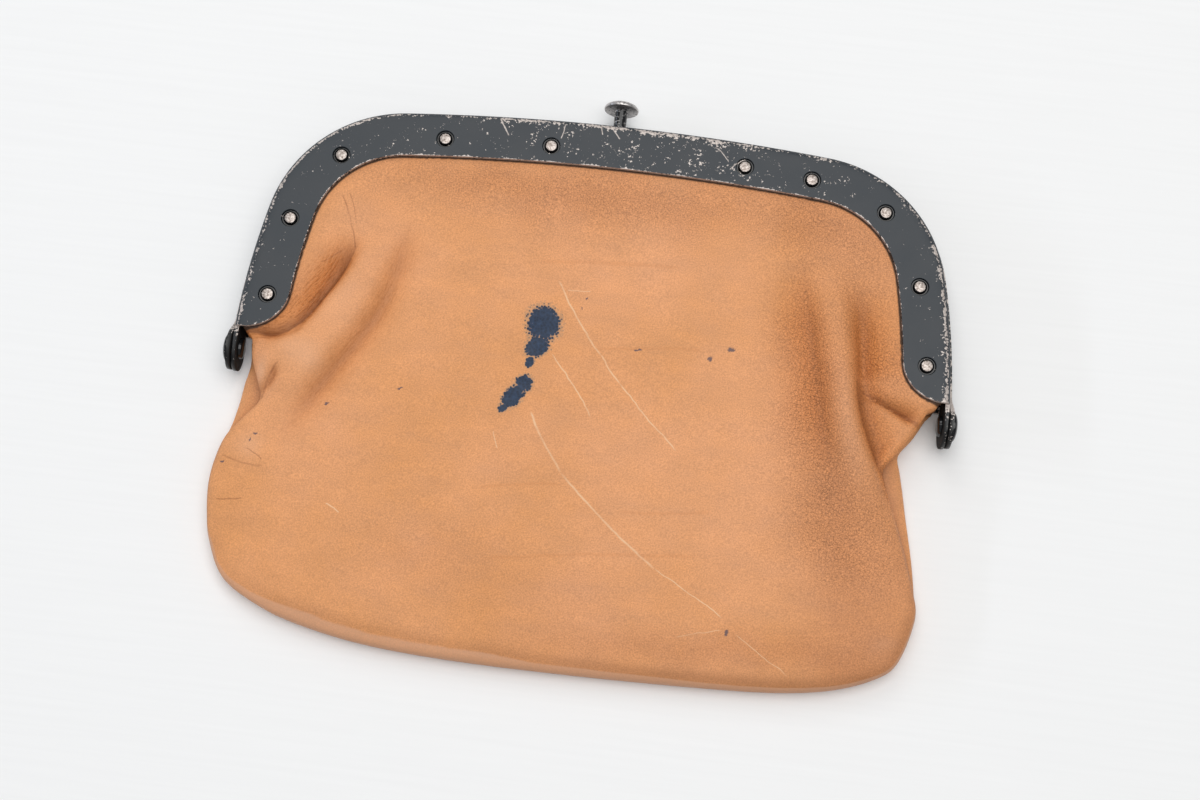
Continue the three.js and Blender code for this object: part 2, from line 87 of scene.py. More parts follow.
# Wear of the enamel: distance along the arch in mm, how chipped the bend is there, how far the chips reach
# on to the plate in mm, how bare the plate's cut edge is, and how specked the whole plate is.
WEAR = np.array((
    (-161.5, 0.10, 0.9, 0.15, 0.05), (-159.5, 0.60, 1.0, 0.95, 0.08), (-153, 0.85, 1.0, 0.98, 0.10),
    (-146, 0.55, 1.6, 0.70, 0.12), (-125, 0.66, 0.7, 0.55, 0.10), (-105, 0.86, 0.7, 0.85, 0.14),
    (-75, 0.82, 0.7, 0.85, 0.16), (-58, 0.50, 0.7, 0.98, 0.18), (-42, 0.62, 1.0, 0.98, 0.20),
    (-30, 0.74, 1.2, 0.98, 0.24), (-12, 0.66, 1.2, 0.98, 0.26), (2, 0.84, 1.3, 0.98, 0.30),
    (24, 0.74, 1.7, 0.98, 0.32), (36, 0.68, 1.5, 0.98, 0.30), (52, 0.58, 1.0, 0.98, 0.24),
    (76, 0.50, 0.9, 0.95, 0.16), (92, 0.72, 1.0, 0.85, 0.12), (108, 0.84, 1.2, 0.60, 0.12),
    (128, 0.78, 1.2, 0.60, 0.12), (148, 0.80, 1.4, 0.60, 0.14), (153, 0.90, 1.2, 0.95, 0.10),
    (159.5, 0.90, 1.4, 0.95, 0.10), (162.5, 0.20, 0.9, 0.28, 0.05),
))
EARS = (HINGE_ALONG - 7, HINGE_ALONG - 2)
IN_RECESS = 0.05
BARE_EDGE = 0.35

# Where on the bend the chips lie, and how far they fade out on to the rim, as inset and depth in mm.
CHIPPED_INSET, CHIPPED_DEPTH = 1.1, 1.2
CHIPS_FADE_INSET, CHIPS_FADE_DEPTH = 0.45, 0.5

# Scratches through the enamel, the same on both plates: from and to, measured from the middle of the top
# edge, bow and width, all in mm.
PLATE_SCRATCHES = (
    ((-36.4, -2.0), (-33.0, -7.6), 0.1, 0.28), ((-16.2, -1.7), (-17.0, -6.7), 0.1, 0.22),
    ((-2.0, -1.1), (0.9, -4.9), -0.1, 0.26), ((-5.3, -1.2), (-4.6, -4.0), 0.0, 0.25),
    ((35.0, -11.0), (39.6, -6.8), 0.4, 0.22), ((30.5, -4.2), (34.5, -8.5), 0.3, 0.20),
)


def outline_at(along, inset=0.0):
    """The point so far along the arch from the middle of its top edge, moved inwards by inset, in mm."""
    left, heading, x, y = abs(along), 0.0, 0.0, TOP_EDGE
    for radius, turn in OUTLINE_ARCS:
        step = min(left / radius, math.radians(turn))
        x += radius * (math.sin(heading + step) - math.sin(heading))
        y -= radius * (math.cos(heading) - math.cos(heading + step))
        heading += step
        left -= step * radius
    x -= inset * math.sin(heading)
    y -= left + inset * math.cos(heading)
    return math.copysign(x, along), y


def smoothstep(low, high, value):
    share = np.clip((value - low) / (high - low), 0, 1)
    return share * share * (3 - 2 * share)


def sheet_point(share, row, plate_width):
    """Distance along the arch, inset and depth of a point on the sheet's outer face. The share runs round the
    arch from -1 to 1, and the rows from the rim's free edge over the bend to the plate's inner edge."""
    bend_row, plate_row = row - RIM_ROWS, row - RIM_ROWS - BEND_ROWS
    plate_turn = math.pi / 2 * max(plate_row, 0) / PLATE_ROWS
    bend_turn = math.pi / 2 * min(max(bend_row, 0) / BEND_ROWS, 1)
    rim_turn = math.pi * min(row / RIM_ROWS, 1)
    end = PLATE_END - PLATE_END_ROUND * (1 - math.cos(plate_turn))
    if bend_row <= 0:
        end = EAR_END - EAR_RADIUS * (1 - math.sin(rim_turn))
    distance = abs(share) * EAR_END
    if distance > ENDS_FROM:
        distance = ENDS_FROM + (distance - ENDS_FROM) * (end - ENDS_FROM) / (EAR_END - ENDS_FROM)
    shoulder = smoothstep(*(HINGE_ALONG + reach for reach in EAR_SHOULDER), distance)
    rim = RIM_DEPTH + (EAR_DEPTH - RIM_DEPTH) * shoulder
    inset = BEND_RADIUS * (1 - math.cos(bend_turn)) + (plate_width - BEND_RADIUS) * math.sin(plate_turn)
    depth = BEND_RADIUS * (1 - math.sin(bend_turn)) + (rim - BEND_RADIUS) * (1 + math.cos(rim_turn)) / 2
    return math.copysign(distance, share), inset, depth


def plate_edge(outset):
    """Points along the inner edge of a plate in mm, from the right rim round both ends to the left rim."""
    turns = np.linspace(0, math.pi / 2, 24)
    alongs = PLATE_END - PLATE_END_ROUND * (1 - np.cos(turns))
    insets = BEND_RADIUS - outset + (PLATE_WIDTH + outset - BEND_RADIUS) * np.sin(turns)
    between = np.linspace(alongs[-1], -alongs[-1], 400)[1:-1]
    alongs = np.concatenate([alongs, between, -alongs[::-1]])
    insets = np.concatenate([insets, np.full(len(between), PLATE_WIDTH), insets[::-1]])
    return np.array([outline_at(along, inset) for along, inset in zip(alongs, insets)])


def smooth(mesh):
    """Shades the mesh smooth but for its sharp edges."""
    mesh.shade_smooth()
    mesh.set_sharp_from_angle(angle=math.radians(40))


def new_piece(name, bm):
    mesh = bpy.data.meshes.new(name)
    bm.to_mesh(mesh)
    bm.free()
    smooth(mesh)
    piece = bpy.data.objects.new(name, mesh)
    bpy.context.scene.collection.objects.link(piece)
    return piece


def modify(piece, name, kind, **settings):
    modifier = piece.modifiers.new(name, kind)
    for setting, value in settings.items():
        setattr(modifier, setting, value)


def apply_modifiers(piece):
    depsgraph = bpy.context.evaluated_depsgraph_get()
    mesh = bpy.data.meshes.new_from_object(piece.evaluated_get(depsgraph))
    piece.modifiers.clear()
    piece.data = mesh


def turned(profile, steps, place):
    """A bmesh turned about Z from a profile of radii and heights in mm, then put in its place."""
    bm = bmesh.new()
    points = [bm.verts.new((radius * MM, 0, height * MM)) for radius, height in profile]
    lines = [bm.edges.new(pair) for pair in zip(points, points[1:])]
    bmesh.ops.spin(bm, geom=points + lines, cent=(0, 0, 0), axis=(0, 0, 1), angle=math.tau, steps=steps,
                   use_merge=True)
    bmesh.ops.remove_doubles(bm, verts=bm.verts, dist=1e-7)
    bmesh.ops.recalc_face_normals(bm, faces=bm.faces)
    bmesh.ops.transform(bm, matrix=place, verts=bm.verts)
    return bm


def place_at(x, y, z, turn=0.0, axis="X"):
    """Where a turned piece goes: a point in mm, with its axis turned from straight up by so many degrees."""
    return Matrix.Translation(Vector((x, y, z)) * MM) @ Matrix.Rotation(math.radians(turn), 4, axis)


def recess_cutter(face, inwards):
    """The recesses round the rivets and the hole for the button's stem, as one mesh to cut away."""
    shank = RIVET_SHANK + GAP
    recess = ((0, -SHEET - GAP), (shank, -SHEET - GAP), (shank, -RECESS_DEPTH), (RECESS_FLOOR, -RECESS_DEPTH),
              (RECESS_MOUTH, 0), (RECESS_MOUTH, GAP), (0, GAP))
    hole = ((0, -RIM_DEPTH), (STEM_RADIUS + GAP, -RIM_DEPTH), (STEM_RADIUS + GAP, RIM_DEPTH), (0, RIM_DEPTH))
    turn = 0 if inwards < 0 else 180
    tools = [turned(recess, 40, place_at(x, TOP_EDGE + y, face, turn)) for x, y in RIVET_PLACES]
    tools.append(turned(hole, 40, place_at(0, TOP_EDGE, MIDDLE, -90)))
    joined = bmesh.new()
    for tool in tools:
        mesh = bpy.data.meshes.new("recess")
        tool.to_mesh(mesh)
        tool.free()
        joined.from_mesh(mesh)
    return new_piece("recesses", joined)


def store(mesh, name, values):
    """Keeps a number for each of the mesh's points, for its material to read."""
    attribute = mesh.attributes.new(name, "FLOAT", "POINT")
    attribute.data.foreach_set("value", np.asarray(values, np.float32))


def wear_enamel(mesh, face, outset):
    """Stores how chipped the enamel is at each point, where the recesses are, where the ears are and which
    points lie on the inner face of the sheet. In the recesses, on the ears and on the inner faces the enamel
    material paints the enamel dark as shade."""
    points = np.array([vert.co for vert in mesh.vertices]) / MM
    alongs = np.linspace(-EAR_END, EAR_END, 900)
    line = np.array([outline_at(along) for along in alongs])
    inner = np.array([outline_at(along, 1) for along in alongs]) - line
    nearest = np.array([((line - point[:2]) ** 2).sum(1).argmin() for point in points])
    along = alongs[nearest]
    inset = ((points[:, :2] - line[nearest]) * inner[nearest]).sum(1) + outset
    depth = np.abs(points[:, 2] - face)
    chipped, reach, bare, specked = (np.interp(along, WEAR[:, 0], WEAR[:, column]) for column in (1, 2, 3, 4))
    beyond = np.maximum(inset - CHIPPED_INSET, 0) / reach
    before = np.maximum(CHIPPED_INSET - inset, 0) / CHIPS_FADE_INSET
    before += np.maximum(depth - CHIPPED_DEPTH, 0) / CHIPS_FADE_DEPTH
    chipping = np.maximum(chipped * np.exp(-beyond ** 2 - before ** 2), specked)
    edge = plate_edge(outset)
    off_edge = np.array([np.sqrt(((edge - point[:2]) ** 2).sum(1).min()) for point in points])
    chipping = np.maximum(chipping, bare * np.exp(-(off_edge / BARE_EDGE) ** 2))
    for polygon in mesh.polygons:
        if polygon.material_index == 1:
            for vertex in polygon.vertices:
                chipping[vertex] = max(chipping[vertex], bare[vertex])
        polygon.material_index = 0
    rivets = np.array(RIVET_PLACES) + (0, TOP_EDGE)
    off_rivet = np.sqrt(((points[:, None, :2] - rivets[None]) ** 2).sum(2)).min(1)
    # The rivet recesses, whose enamel the material paints nearly black as shade.
    recess_shade = (off_rivet < RECESS_MOUTH - IN_RECESS) & (depth > IN_RECESS)
    ear = smoothstep(*EARS, np.abs(along))
    below = BEND_RADIUS - np.hypot(np.maximum(BEND_RADIUS - inset, 0), np.maximum(BEND_RADIUS - depth, 0))
    inside = smoothstep(0.5 * SHEET, 0.9 * SHEET, below) * (1 - recess_shade)
    for name, values in (("chipping", chipping), ("recess_shade", recess_shade), ("ear", ear), ("inside", inside)):
        store(mesh, name, values)


def linear(colour):
    """An sRGB hex colour as linear red, green, blue and alpha."""
    channels = [int(colour[start:start + 2], 16) / 255 for start in (1, 3, 5)]
    return (*(c / 12.92 if c <= 0.04045 else ((c + 0.055) / 1.055) ** 2.4 for c in channels), 1.0)


def add(tree, kind, inputs=(), output=None, **settings):
    """Adds a node with its settings, fills its inputs, by name or else in order those in use, with values or
    with outputs of other nodes, and returns the named output or else the first in use."""
    made = tree.nodes.new(f"ShaderNode{kind}")
    for name, value in settings.items():
        setattr(made, name, value)
    named = isinstance(inputs, dict)
    ways = [made.inputs[name] for name in inputs] if named else [way for way in made.inputs if way.enabled]
    for way, value in zip(ways, inputs.values() if named else inputs):
        if isinstance(value, bpy.types.NodeSocket):
            tree.links.new(value, way)
        else:
            way.default_value = value
    return made.outputs[output] if output else next((way for way in made.outputs if way.enabled), None)


def new_material(name):
    """A new material, its node tree, and the place on the piece for its looks to be drawn at."""
    material = bpy.data.materials.new(name)
    material.use_nodes = True
    tree = material.node_tree
    tree.nodes.clear()
    return material, tree, add(tree, "TexCoord", output="Object")


def finish_material(tree, inputs):
    add(tree, "OutputMaterial", (add(tree, "BsdfPrincipled", inputs),))


def line_mark(tree, place, start, end, bow, width):
    """A mask: 1 on a thin line between two points in plan, bowed to one side, and 0 beyond its width."""
    start, end = Vector(start), Vector(end)
    middle, half = (start + end) / 2, (end - start).length / 2
    turn = math.atan2(end.y - start.y, end.x - start.x)
    mapped = add(tree, "Mapping", (place, (middle.x * MM, (middle.y + TOP_EDGE) * MM, 0), (0, 0, turn),
                                   (half * MM, half * MM, 1)), vector_type="TEXTURE")
    x = add(tree, "SeparateXYZ", (mapped,))
    squared = add(tree, "Math", (x, 2.0), operation="POWER")
    bowed = add(tree, "Math", (squared, bow / half, x.node.outputs["Y"]), operation="MULTIPLY_ADD")
    off = add(tree, "Math", (bowed, bow / half), operation="SUBTRACT")
    off_line = add(tree, "Math", (off,), operation="ABSOLUTE")
    across = add(tree, "MapRange", (off_line, 0.3 * width / half, width / half, 1, 0))
    lengthwise = add(tree, "MapRange", (squared, 0.75, 1, 1, 0))
    return add(tree, "Math", (across, lengthwise), operation="MULTIPLY")


def together(tree, masks):
    """The largest of several masks."""
    joined = masks[0]
    for mask in masks[1:]:
        joined = add(tree, "Math", (joined, mask), operation="MAXIMUM")
    return joined


def laid_over(tree, colour, mask, paint, share=1.0):
    """A colour with another laid over it where the mask is 1."""
    part = add(tree, "Math", (mask, share), operation="MULTIPLY")
    return add(tree, "Mix", (part, colour, linear(paint)), data_type="RGBA")


def unsteady(tree, place, size, reach):
    """The place shifted a little this way and that, so that what is drawn there wavers."""
    shift = add(tree, "TexNoise", {"Vector": place, "Scale": 1 / (size * MM), "Detail": 3}, "Color")
    centred = add(tree, "VectorMath", (shift, (0.5, 0.5, 0.5)), operation="SUBTRACT")
    return add(tree, "VectorMath", (centred, [reach * MM] * 3, place), operation="MULTIPLY_ADD")


def stoved_enamel(name):
    """Black enamel baked on to steel: a satin slate-black skin, glossy on the ears where nothing rubs it and
    rough on the sheet's inner faces. Painted shade darkens it nearly to black on the ears, in the rivet
    recesses and on the inner faces. Where it has chipped off, the dull steel shows a pinkish grey, a hair
    below the enamel."""
    material, tree, place = new_material(name)
    fine = add(tree, "TexNoise", {"Vector": place, "Scale": 1 / (0.75 * MM), "Detail": 3, "Roughness": 0.6})
    coarse = add(tree, "TexNoise", {"Vector": place, "Scale": 1 / (3.6 * MM), "Detail": 3})
    streaks = add(tree, "TexNoise", {"Vector": place, "Scale": 1 / (14 * MM), "Detail": 4})
    chipping, recess_shade, ear, inside = (add(tree, "Attribute", output="Fac", attribute_name=stored)
                                    for stored in ("chipping", "recess_shade", "ear", "inside"))
    ears_and_recesses = together(tree, [ear, recess_shade])
    painted_black_shade = together(tree, [ears_and_recesses, inside])
    patches = add(tree, "Mix", (0.35, fine, coarse))
    reach = add(tree, "Math", (chipping, 0.3, patches), operation="MULTIPLY_ADD")
    chip = add(tree, "MapRange", (reach, 0.685, 0.705))
    wavering = unsteady(tree, place, 1.5, 0.5)
    bare = together(tree, [chip] + [line_mark(tree, wavering, *scratch) for scratch in PLATE_SCRATCHES])
    enamel = add(tree, "Mix", (streaks, linear("#262A2F"), linear("#343A40")), data_type="RGBA")
    # Painted shade: the enamel darkened nearly to black on the ears, in the recesses and on inner faces.
    black = laid_over(tree, enamel, painted_black_shade, "#0A0A0B")
    steel = add(tree, "Mix", (fine, linear("#75655D"), linear("#F0E6DF")), data_type="RGBA")
    colour = add(tree, "Mix", (bare, black, steel), data_type="RGBA")
    skin = add(tree, "TexNoise", {"Vector": place, "Scale": 1 / (0.5 * MM), "Detail": 2})
    height = add(tree, "Math", (bare, -4.0, skin), operation="MULTIPLY_ADD")
    bump = add(tree, "Bump", {"Height": height, "Distance": 0.01 * MM})
    rubbed = add(tree, "MapRange", (streaks, 0.3, 0.7, 0.46, 0.58))
    glossy = add(tree, "Mix", (ears_and_recesses, rubbed, 0.14))
    rough = add(tree, "Mix", (inside, glossy, 0.8))
    metal = add(tree, "Math", (bare, 0.3), operation="MULTIPLY")
    finish_material(tree, {"Base Color": colour, "Metallic": metal, "Roughness": rough, "Normal": bump})
    return material


def frame_half(name, face, inwards, outset):
    """One half: the outer face of its sheet as a grid, made thick, with worn edges and cut recesses."""
    bm = bmesh.new()
    rows = RIM_ROWS + BEND_ROWS + PLATE_ROWS
    bmesh.ops.create_grid(bm, x_segments=ALONG_STEPS, y_segments=rows, size=1)
    for vert in bm.verts:
        row = round((vert.co.y + 1) / 2 * rows)
        along, inset, depth = sheet_point(vert.co.x, row, PLATE_WIDTH + outset)
        x, y = outline_at(along, inset - outset)
        vert.co = Vector((x, y, face + inwards * depth)) * MM
    if inwards < 0:
        bmesh.ops.reverse_faces(bm, faces=bm.faces)
    piece = new_piece(name, bm)
    # The sheet's cut edges get the second slot, which tells wear_enamel where they are.
    for _ in range(2):
        piece.data.materials.append(black_enamel)
    cutter = recess_cutter(face, inwards)
    modify(piece, "sheet", "SOLIDIFY", thickness=SHEET * MM, offset=-1, use_even_offset=True,
           material_offset_rim=1)
    modify(piece, "worn edges", "BEVEL", width=WORN_EDGE * MM, segments=2, limit_method="ANGLE",
           angle_limit=math.radians(50))
    modify(piece, "recesses", "BOOLEAN", operation="DIFFERENCE", solver="EXACT", object=cutter)
    apply_modifiers(piece)
    bpy.data.objects.remove(cutter)
    wear_enamel(piece.data, face, outset)
    smooth(piece.data)
    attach(piece, "pouch")
    return piece


black_enamel = stoved_enamel("black_stoved_enamel")
front_half = frame_half("front_frame_half", FRONT_FACE, -1, 0)
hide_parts("frame_front")
back_half = frame_half("back_frame_half", BACK_FACE, 1, BACK_OUTSET)
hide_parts("frame_back")


# Plate rivets
# Solid steel rivets hold the leather to both plates. Each has a low domed head, bright with wear, in a recess
# of the plate, and is clenched over on the inside of the bag.

LEATHER = 1.5
RIVET_HEAD, RIVET_CROWN = 2.1, 0.3
RIVET_CLENCH, RIVET_CLENCH_HEIGHT = 2.4, 0.8
RIVET_RUBBED = (1.3, 1.9)
PLATE_TO_LEATHER = SHEET + GAP + LEATHER / 2


def dome(radius, base, top, points=8):
    """Profile points over a rounded crown, from its edge to its middle."""
    turns = [math.pi / 2 * step / points for step in range(points + 1)]
    return [(radius * math.cos(turn), base + (top - base) * math.sin(turn)) for turn in turns]


def worn_steel(name):
    """Bare mild steel, rubbed bright on its crown, pitted, and black with old dirt round its edge."""
    material, tree, place = new_material(name)
    pits = add(tree, "TexNoise", {"Vector": place, "Scale": 1 / (0.7 * MM), "Detail": 6, "Roughness": 0.65})
    rubbed = add(tree, "Attribute", output="Fac", attribute_name="rubbed")
    pitted = add(tree, "MapRange", (pits, 0.34, 0.6))
    steel = add(tree, "Mix", (pitted, linear("#756860"), linear("#BFB6B0")), data_type="RGBA")
    uneven = add(tree, "Math", (pits, 0.5, rubbed), operation="MULTIPLY_ADD")
    clean = add(tree, "MapRange", (uneven, 0.6, 0.85))
    colour = add(tree, "Mix", (clean, linear("#151516"), steel), data_type="RGBA")
    rough = add(tree, "MapRange", (pits, 0.3, 0.7, 0.55, 0.36))
    bump = add(tree, "Bump", {"Height": pits, "Distance": 0.05 * MM})
    finish_material(tree, {"Base Color": colour, "Metallic": 1.0, "Roughness": rough, "Normal": bump})
    return material


rivet_steel = worn_steel("worn_mild_steel")
clench = -(PLATE_TO_LEATHER + LEATHER / 2 + GAP)
rivet_profile = [(RIVET_CLENCH * share, clench - RIVET_CLENCH_HEIGHT * rise)
                 for share, rise in ((0, 1), (0.6, 0.95), (0.9, 0.7), (1, 0.4), (1, 0))]
rivet_profile += [(RIVET_SHANK, clench), (RIVET_SHANK, -GAP), (RIVET_HEAD, -GAP)]
rivet_profile += dome(RIVET_HEAD, -GAP / 2, RIVET_CROWN)
for half, face, turn in (("front", FRONT_FACE, 0), ("back", BACK_FACE, 180)):
    for number, (x, y) in enumerate(RIVET_PLACES, 1):
        place = place_at(x, TOP_EDGE + y, face, turn)
        rivet = new_piece(f"{half}_rivet_{number}", turned(rivet_profile, 36, place))
        rivet.data.materials.append(rivet_steel)
        middle = Vector((x, TOP_EDGE + y)) * MM
        off_axis = np.array([(vert.co.xy - middle).length / MM for vert in rivet.data.vertices])
        store(rivet.data, "rubbed", 1 - smoothstep(*RIVET_RUBBED, off_axis))
        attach(rivet, "pouch")
        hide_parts(f"rivet_{half}_{number}")


# Hinge rivets
# A large dome-headed rivet through the two ears on each side is the hinge of the frame. Its head stands
# outside, glossy black, and its end is clenched against the inner ear.

HINGE_HEAD, HINGE_DOME, HINGE_HEAD_EDGE = 4.4, 1.7, 0.4
HINGE_SHANK, HINGE_CLENCH, HINGE_CLENCH_HEIGHT = 1.8, 3.2, 0.9

hinge_outside = 2 * SHEET + 2 * GAP
hinge_profile = [(0, -GAP - HINGE_CLENCH_HEIGHT), (HINGE_CLENCH * 0.75, -GAP - HINGE_CLENCH_HEIGHT),
                 (HINGE_CLENCH * 0.93, -GAP - HINGE_CLENCH_HEIGHT * 0.7), (HINGE_CLENCH, -GAP),
                 (HINGE_SHANK, -GAP), (HINGE_SHANK, hinge_outside), (HINGE_HEAD, hinge_outside)]
hinge_profile += dome(HINGE_HEAD, hinge_outside + HINGE_HEAD_EDGE, hinge_outside + HINGE_DOME, 12)


def glossy_enamel(name):
    """The same black enamel on turned steel, left glossy where hands don't rub it. Where they do, bare steel
    shows through, dull and grey."""
    material, tree, place = new_material(name)
    specks = add(tree, "TexNoise", {"Vector": place, "Scale": 1 / (0.9 * MM), "Detail": 5, "Roughness": 0.6})
    rubbed = add(tree, "Attribute", output="Fac", attribute_name="rubbed")
    reach = add(tree, "Math", (rubbed, 0.5, specks), operation="MULTIPLY_ADD")
    bare = add(tree, "MapRange", (reach, 0.66, 0.8))
    steel = add(tree, "Mix", (specks, linear("#8C8785"), linear("#E4E0DE")), data_type="RGBA")
    colour = add(tree, "Mix", (bare, linear("#131416"), steel), data_type="RGBA")
    rough = add(tree, "MapRange", (bare, 0, 1, 0.07, 0.38))
    pitting = add(tree, "Math", (specks, bare), operation="MULTIPLY")
    bump = add(tree, "Bump", {"Height": pitting, "Distance": 0.03 * MM})
    metal = add(tree, "Math", (bare, 0.9), operation="MULTIPLY")
    finish_material(tree, {"Base Color": colour, "Metallic": metal, "Roughness": rough, "Normal": bump})
    return material


glossy_black = glossy_enamel("glossy_black_enamel")
hinge_x, hinge_y = outline_at(HINGE_ALONG)
for side_name, side in (("left", -1), ("right", 1)):
    place = place_at(side * (hinge_x - SHEET), hinge_y, MIDDLE, side * 90, "Y")
    hinge = new_piece(f"{side_name}_hinge_rivet", turned(hinge_profile, 56, place))
    hinge.data.materials.append(glossy_black)
    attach(hinge, "pouch")
    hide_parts(f"hinge_rivet_{side_name}")


# Push button
# A turned steel button, pressed down to open the frame: a low domed cap on a stem through the rims, with a
# collar inside that keeps it in. It is enamelled black, and thumbs have rubbed the cap's edge and dome bare.

BUTTON_CAP, BUTTON_CAP_EDGE, BUTTON_EDGE_HEIGHT, BUTTON_DOME = 5.35, 8.0, 0.5, 2.1
BUTTON_COLLAR, BUTTON_COLLAR_HEIGHT, BUTTON_TAIL = 3.6, 1.4, 4.0

collar_top = -SHEET - GAP
collar_floor = collar_top - BUTTON_COLLAR_HEIGHT
cap_floor = BUTTON_CAP_EDGE - BUTTON_EDGE_HEIGHT
button_profile = [(0, collar_floor - BUTTON_TAIL), (STEM_RADIUS * 0.85, collar_floor - BUTTON_TAIL),
                  (STEM_RADIUS, collar_floor - BUTTON_TAIL * 0.93), (STEM_RADIUS, collar_floor),
                  (BUTTON_COLLAR, collar_floor), (BUTTON_COLLAR, collar_top), (STEM_RADIUS, collar_top),
                  (STEM_RADIUS, cap_floor - 0.6), (STEM_RADIUS * 1.15, cap_floor - 0.15),
                  (STEM_RADIUS * 1.5, cap_floor), (BUTTON_CAP * 0.93, cap_floor),
                  (BUTTON_CAP * 0.98, cap_floor + 0.15)]
button_profile += dome(BUTTON_CAP, BUTTON_CAP_EDGE, BUTTON_CAP_EDGE + BUTTON_DOME, 14)
button = new_piece("push_button_cap_and_stem", turned(button_profile, 64, place_at(0, TOP_EDGE, MIDDLE, -90)))
button.data.materials.append(glossy_black)
heights = np.array([vert.co.y / MM - TOP_EDGE for vert in button.data.vertices])
store(button.data, "rubbed", 0.2 + 0.5 * smoothstep(cap_floor - 0.5, cap_floor + 0.1, heights))
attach(button, "button")
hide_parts("push_button")


# Front leather
# The front of the bag is one piece of vegetable-tanned leather, riveted flat under the front plate. Below the
# frame it swells over the space inside, gathers into folds at the hinges, and turns down at its edge to the
# seam with the back. It is scuffed, scratched and stained with ink.

BAG_BOTTOM = -165.4
BORDER_INSET = 4.5
LEATHER_BORDER = 2.5
FRONT_LEVEL = FRONT_FACE - PLATE_TO_LEATHER
SEAM_GAP = 0.15
GRID_CLOSE = ((0, 0.05), (0.2, 0.2), (0.5, 0.2), (0.8, 0.2), (1, 0.05))
ROLL_RINGS = 5
ROLL_BULGE = 0.2
CROWN_LENGTH, CORNER_LENGTH = (radius * math.radians(turn) for radius, turn in OUTLINE_ARCS[:2])
TOP_CORNER = CROWN_LENGTH + CORNER_LENGTH / 2
PLATE_END_Y = outline_at(PLATE_END)[1] - TOP_EDGE

# Sections down the sides of the bag, y measured from the frame's top edge: heights of the front edge, the
# seam and the back edge, how far the seam is tucked in, and the x of those lines on the left and the right.
SIDE_COLUMNS = ("y", "front_z", "seam_z", "back_z", "tuck", "left_front", "left_back", "left_seam",
                "right_front", "right_back", "right_seam")
SIDE_SECTIONS = dict(zip(SIDE_COLUMNS, np.array((
    (-79, 11.2, 7.4, 3.6, 1.0, -100.5, -102.2, -97.5, 99.6, 100.6, 96.5),
    (-85, 10.3, 7.0, 3.8, 1.0, -99.6, -101.4, -95.5, 96.5, 97.4, 92.0),
    (-91, 9.8, 6.6, 3.8, 1.0, -97.2, -102.2, -92.6, 92.3, 93.2, 87.2),
    (-97, 9.5, 6.3, 3.6, 1.0, -95.6, -102.8, -91.2, 88.4, 94.2, 83.8),
    (-103, 9.2, 5.9, 3.3, 1.0, -99.8, -103.9, -95.6, 89.6, 95.5, 85.0),
    (-109, 8.5, 5.3, 2.9, 1.0, -104.2, -105.4, -101.2, 92.1, 96.7, 88.2),
    (-116, 7.3, 4.7, 2.4, 1.0, -106.5, -106.8, -105.4, 94.9, 98.3, 92.2),
    (-123, 6.4, 4.2, 2.0, 0.9, -107.3, -107.3, -107.2, 97.4, 99.6, 95.8),
    (-131, 5.8, 3.8, 1.8, 0.5, -106.5, -106.5, -106.5, 99.8, 100.7, 99.3),
    (-139, 5.4, 3.5, 1.7, 0.0, -104.6, -104.6, -104.6, 101.2, 101.2, 101.2),
)).T))
BOTTOM_EDGE = ((-99, -149.2), (-88, -155.8), (-75.5, -159.9), (-56, -163.4), (-30, -165.1), (5, BAG_BOTTOM),
               (40, -164.8), (63, -163.7), (79, -161.3), (91, -157), (97.2, -151.8))

# Height of the swell at a y, in mm.
CREST = np.array(((0, FRONT_LEVEL), (-30, 12.9), (-60, 12.5), (-90, 11.9), (-115, 11.0), (-140, 9.6),
                  (-170, 7.6)))
FRONT_EDGE_ROUND = 19
FOLDS_FROM_EDGE = (0, 4)
# Where the leather comes free of the plate: distance from the arch, and the y at which the panel and the
# rolled edges do at the plate's ends.
PLATE_CLEAR = (PLATE_WIDTH + 1, PLATE_WIDTH + 11)
FRONT_RELEASE = (PLATE_END_Y - 5, PLATE_END_Y + 1)
EDGE_RELEASE = (PLATE_END_Y - 4, PLATE_END_Y + 1)
# Size and height in mm of the waves in the leather, and of the wander of the edges of patches on it.
SWELL_WAVES = (34, 0.5)
PATCH_WANDER = (14, 4)
# A pale band of painted light runs along the seam below these y, and the leather is more pebbled
# above them.
LOW_BAND = (-142, -122)
PEBBLED, PEBBLED_MORE, PEBBLED_FOLDS = 0.32, 0.46, 0.3
SEAM_DARK_UP, SEAM_DARK_REACH = 0.8, 1.8
HOLLOW_REACH = 4

